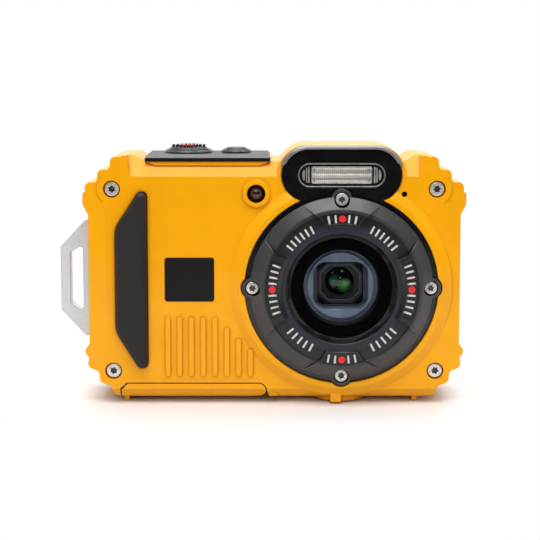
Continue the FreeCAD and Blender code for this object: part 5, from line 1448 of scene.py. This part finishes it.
EDGE_STEPS = [
    # how far each step goes inward, and how far forward, along the rounded edge
    (0.06 * MM, 0.42 * MM),
    (0.16 * MM, 0.36 * MM),
    (0.28 * MM, 0.2 * MM),
    (0.4 * MM, 0.08 * MM),
    (0.18 * MM, 0.0),
    (0.02 * MM, -0.78 * MM),
]
# The edge ends at this share of its radius above the flash's middle.
EDGE_FOOT = 0.28
EDGE_TAPER = [
    # share of the radius below which the edge gets lower, and how much of its height is left
    (0.7, 0.8),
    (0.55, 0.7),
    (0.4, 0.5),
]
# How far the hump's front lies behind the ring screws' heads.
HUMP_BEHIND_SCREWS = 1.8 * MM
# How far the edge stays below the hump's top, and inside its two ends.
EDGE_BELOW = 0.01 * MM
EDGE_INSET = 0.45 * MM


class CAMERA_OT_bezel_edge(bpy.types.Operator):
    """Round the black bezel's edge over the hump of the casing"""

    bl_idname = "camera.bezel_edge"
    bl_label = "Bezel edge"

    def execute(self, context):
        looks = context.scene.camera_looks
        spot = middle("flash_window")
        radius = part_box("front_casing")[1].z - spot.z - EDGE_BELOW
        long = 2 * (looks.flash_half + radius - EDGE_INSET)
        edge = stadium("bezel_edge", long, 2 * radius, 96)
        pick(edge, "FACE")
        for inward, forward in EDGE_STEPS:
            bpy.ops.mesh.inset(thickness=inward, depth=forward)
        bpy.ops.mesh.delete(type="FACE")
        pick(edge, "VERT", lambda point: point.y < EDGE_FOOT * radius)
        bpy.ops.mesh.delete(type="VERT")
        for height, left in EDGE_TAPER:
            pick(edge, "VERT", lambda point: point.y < height * radius)
            stretch(deep=left)
        rest()
        thicken(edge, 0.05 * MM)
        smooth(edge, 50)
        lay(edge, (spot.x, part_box("lens_ring_screws")[0].y + HUMP_BEHIND_SCREWS, spot.z))
        # The edge's grey is a painted reflection of the light above.
        done(edge, edge_painted_reflection(looks))
        return {"FINISHED"}


# How far the panel and the dots stay inside the block's border, and how high the panel's bands are.
PANEL_INSET = 0.25 * MM
DOT_INSET = (0.8 * MM, 0.75 * MM)
BAND_RISE = 0.2 * MM
END_BARS = [
    # distance from the middle, width and height, in millimetres
    (8.85, 0.42, 4.3),
    (9.45, 0.34, 4.0),
]
# How far a cap's middle is from the block's.
END_CAP = 10.1 * MM


class CAMERA_OT_flash(bpy.types.Operator):
    """Mould the ribbed block, the end bars, the rim and the dark backing of the flash"""

    bl_idname = "camera.flash"
    bl_label = "Flash"

    def execute(self, context):
        looks = context.scene.camera_looks
        self.pale = flash_clear(looks)
        self.black = finish_of("window_mask")
        self.rim()
        self.block(looks)
        self.ends()
        return {"FINISHED"}

    def put(self, piece, across=0.0, up=0.0, back=0.0):
        """Lays a piece a little behind the window's face."""
        spot = middle("flash_window")
        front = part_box("flash_window")[0].y
        return lay(piece, (spot.x + across, front + back, spot.z + up))

    def rim(self):
        """The pale rim inside the window, and the dark well behind it."""
        low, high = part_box("flash_window")
        wide, tall = high.x - low.x, high.z - low.z
        rim = stadium("flash_rim", wide - 0.1 * MM, tall - 0.1 * MM)
        frame_of(rim, width=0.2 * MM, thick=0.3 * MM, rounding=0.06 * MM)
        done(self.put(rim, back=-0.02 * MM), self.pale)
        well = stadium("flash_well", wide - 0.2 * MM, tall - 0.2 * MM)
        pick(well, "FACE")
        bpy.ops.mesh.inset(thickness=0.5 * MM, depth=-0.15 * MM)
        rest()
        thicken(well, 0.05 * MM)
        done(self.put(well, back=0.65 * MM), self.black)

    def block(self, looks):
        """The ribbed panel in its border, with a dot in each corner."""
        wide, tall = looks.block_width, looks.block_height
        border = tablet("flash_border", wide, tall, corner=0.5 * MM)
        frame_of(border, width=0.32 * MM, thick=0.4 * MM, rounding=0.1 * MM)
        rest()
        bpy.ops.mesh.primitive_grid_add(x_subdivisions=4, y_subdivisions=2 * looks.block_bands, size=1)
        panel = named("flash_panel")
        panel.scale = (wide - 2 * PANEL_INSET, tall - 2 * PANEL_INSET, 1)
        settle(panel)
        step = (tall - 2 * PANEL_INSET) / (2 * looks.block_bands)
        pick(panel, "VERT", lambda point: round((point.y + tall / 2 - PANEL_INSET) / step) % 2 == 1)
        bpy.ops.transform.translate(value=(0, 0, BAND_RISE))
        rest()
        thicken(panel, 0.1 * MM)
        round_edges(panel, 0.05 * MM, 15)
        smooth(panel)
        done(self.put(panel, back=0.42 * MM), flash_white(looks))
        done(self.put(border, back=0.2 * MM), self.pale)
        dots = []
        for across in (-1, 1):
            for up in (-1, 1):
                dot = disc("dot", 0.26 * MM, 16)
                thicken(dot, 0.05 * MM)
                place = (across * (wide / 2 - DOT_INSET[0]), up * (tall / 2 - DOT_INSET[1]))
                dots.append(self.put(dot, *place, back=0.25 * MM))
        done(join("flash_dots", dots), self.black)

    def ends(self):
        """Two bars and a rounded cap on each side of the block."""
        parts = []
        for side in (-1, 1):
            for across, wide, tall in END_BARS:
                strip = tablet("strip", wide * MM, tall * MM, corner=0.12 * MM)
                thicken(strip, 0.3 * MM)
                round_edges(strip, 0.1 * MM)
                parts.append(self.put(strip, side * across * MM, back=0.25 * MM))
            cap = disc("cap", 0.5 * MM)
            pick(cap, "VERT")
            stretch(up=2.9)
            pick(cap, "VERT", lambda point: point.x * side < 0)
            stretch(across=0.4)
            rest()
            thicken(cap, 0.3 * MM)
            round_edges(cap, 0.08 * MM)
            parts.append(self.put(cap, side * END_CAP, back=0.3 * MM))
        bars = join("flash_bars", parts)
        smooth(bars)
        done(bars, self.pale)


class CAMERA_OT_lamp_lens(bpy.types.Operator):
    """Set a small domed lens in the focus lamp"""

    bl_idname = "camera.lamp_lens"
    bl_label = "Lamp lens"

    def execute(self, context):
        radius = context.scene.camera_looks.lamp_lens
        rest()
        bpy.ops.mesh.primitive_uv_sphere_add(segments=32, ring_count=16, radius=radius)
        dome = named("lamp_lens")
        pick(dome, "VERT", lambda point: point.z < -radius * 0.05)
        bpy.ops.mesh.delete(type="VERT")
        pick(dome, "VERT")
        stretch(deep=0.45)
        rest()
        thicken(dome, 0.1 * MM)
        smooth(dome)
        spot = middle("focus_lamp_window")
        lay(dome, (spot.x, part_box("focus_lamp_window")[0].y, spot.z))
        done(dome, finish_of("focus_lamp_window"))
        return {"FINISHED"}


# Marks

class CAMERA_OT_front_plate(bpy.types.Operator):
    """Lay the bare black plate on the front"""

    bl_idname = "camera.front_plate"
    bl_label = "Bare plate"

    def execute(self, context):
        looks = context.scene.camera_looks
        bare = tablet("bare_plate", *looks.plate_size, corner=0.7 * MM)
        lay(bare, (looks.plate_place[0], IN_FRONT, looks.plate_place[1]))
        print_on(bare, "front_casing", lift=0.01 * MM, thick=0.08 * MM)
        done(bare, paint("bare_plate_black", tone(20, 19, 18), 0.5, 0.2))
        return {"FINISHED"}


# The corners of the signs, as shares of a sign's size.
ARROW = [(-1, -0.5), (1, -0.5), (0, 0.6)]
BIN_BODY = [(-0.6, 0.4), (-0.45, -1), (0.45, -1), (0.6, 0.4)]
BIN_LID = [(-0.8, 0.6), (0.8, 0.6), (0.8, 0.85), (-0.8, 0.85)]
# The width of a sign's strokes, as a share of its size.
STROKE = 0.28


class CAMERA_OT_key_marks(bpy.types.Operator):
    """Print plain signs on the rear keys"""

    bl_idname = "camera.key_marks"
    bl_label = "Signs on the keys"

    def execute(self, context):
        looks = context.scene.camera_looks
        size = looks.sign_size
        self.white = paint("sign_white", tone(214, 214, 214))
        red = paint("sign_red", tuple(looks.red_colour))
        self.sign("record_sign", [disc("dot", size * 0.7)], "record_button", "record", red)
        triangle = turned(shape("triangle", size, ARROW), -math.pi / 2)
        self.sign("playback_sign", [triangle], "playback_button", "playback")
        lines = [
            turned(bar("line", size * 1.8, size * STROKE), math.pi / 2, (0, row * size * 0.7))
            for row in (-1, 0, 1)
        ]
        self.sign("menu_sign", lines, "menu_button", "menu")
        bin_parts = [shape("bin", size, BIN_BODY), shape("lid", size, BIN_LID)]
        self.sign("delete_sign", bin_parts, "delete_button", "delete")
        arrows = []
        for quarter in range(4):
            turn = quarter * math.pi / 2
            place = (-looks.arrow_radius * math.sin(turn), looks.arrow_radius * math.cos(turn))
            arrows.append(turned(shape("tip", size * 0.7, ARROW), turn, place))
        self.sign("direction_signs", arrows, "nav_pad", "direction_pad")
        strokes = [
            turned(bar("stroke", size * 1.5, size * STROKE), turn, (side * looks.zoom_reach, 0))
            for turn, side in ((math.pi / 2, 1), (0, -1), (math.pi / 2, -1))
        ]
        self.sign("zoom_signs", strokes, "zoom_rocker", "rocker")
        return {"FINISHED"}

    def sign(self, name, parts, node, body, ink=None):
        """Joins a sign's parts and prints them on the back of a key."""
        spot = middle(node)
        spot.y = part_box(node)[1].y + 1 * MM
        piece = lay(join(name, parts), spot, "rear")
        print_on(piece, node, lift=0.01 * MM, thick=0.03 * MM)
        done(piece, ink or self.white, body)


# The underside

# How far above the socket's mouth the thread starts.
THREAD_START = 0.5 * MM


class CAMERA_OT_tripod_thread(bpy.types.Operator):
    """Cut the thread's turns into the tripod socket"""

    bl_idname = "camera.tripod_thread"
    bl_label = "Tripod thread"

    def execute(self, context):
        looks = context.scene.camera_looks
        pitch = looks.thread_pitch
        rest()
        upright = (math.pi / 2, 0, math.pi)
        bpy.ops.mesh.primitive_circle_add(vertices=3, radius=pitch * 0.3, rotation=upright)
        thread = named("tripod_thread")
        thread.location = (looks.thread_bore, 0, THREAD_START)
        settle(thread)
        turns = int(looks.thread_length / pitch) - 1
        apply(thread, "SCREW", screw_offset=pitch, iterations=turns, steps=32, render_steps=32,
              use_merge_vertices=True, merge_threshold=1e-6)
        pick(thread, "VERT")
        bpy.ops.mesh.normals_make_consistent(inside=False)
        rest()
        done(thread, finish_of("tripod_socket"))
        return {"FINISHED"}


class CAMERA_PT_pieces(bpy.types.Panel):
    """The steps that dress the camera"""

    bl_idname = "CAMERA_PT_pieces"
    bl_label = "Waterproof camera"
    bl_space_type = "VIEW_3D"
    bl_region_type = "UI"
    bl_category = "Camera"

    def draw(self, context):
        for step in STEPS:
            self.layout.operator(step.bl_idname)
        for name in CameraLooks.__annotations__:
            self.layout.prop(context.scene.camera_looks, name)


STEPS = [
    CAMERA_OT_finish_nodes,
    CAMERA_OT_dial,
    CAMERA_OT_window_print,
    CAMERA_OT_lens_frames,
    CAMERA_OT_screws,
    CAMERA_OT_bezel_edge,
    CAMERA_OT_flash,
    CAMERA_OT_lamp_lens,
    CAMERA_OT_front_plate,
    CAMERA_OT_key_marks,
    CAMERA_OT_tripod_thread,
    CAMERA_OT_stage,
]


def register():
    for kind in (CameraLooks, *STEPS, CAMERA_PT_pieces):
        bpy.utils.register_class(kind)
    bpy.types.Scene.camera_looks = PointerProperty(type=CameraLooks)


def unregister():
    del bpy.types.Scene.camera_looks
    for kind in reversed((CameraLooks, *STEPS, CAMERA_PT_pieces)):
        bpy.utils.unregister_class(kind)


def main():
    register()
    for step in STEPS:
        group, name = step.bl_idname.split(".")
        getattr(getattr(bpy.ops, group), name)()


if __name__ == "__main__":
    main()
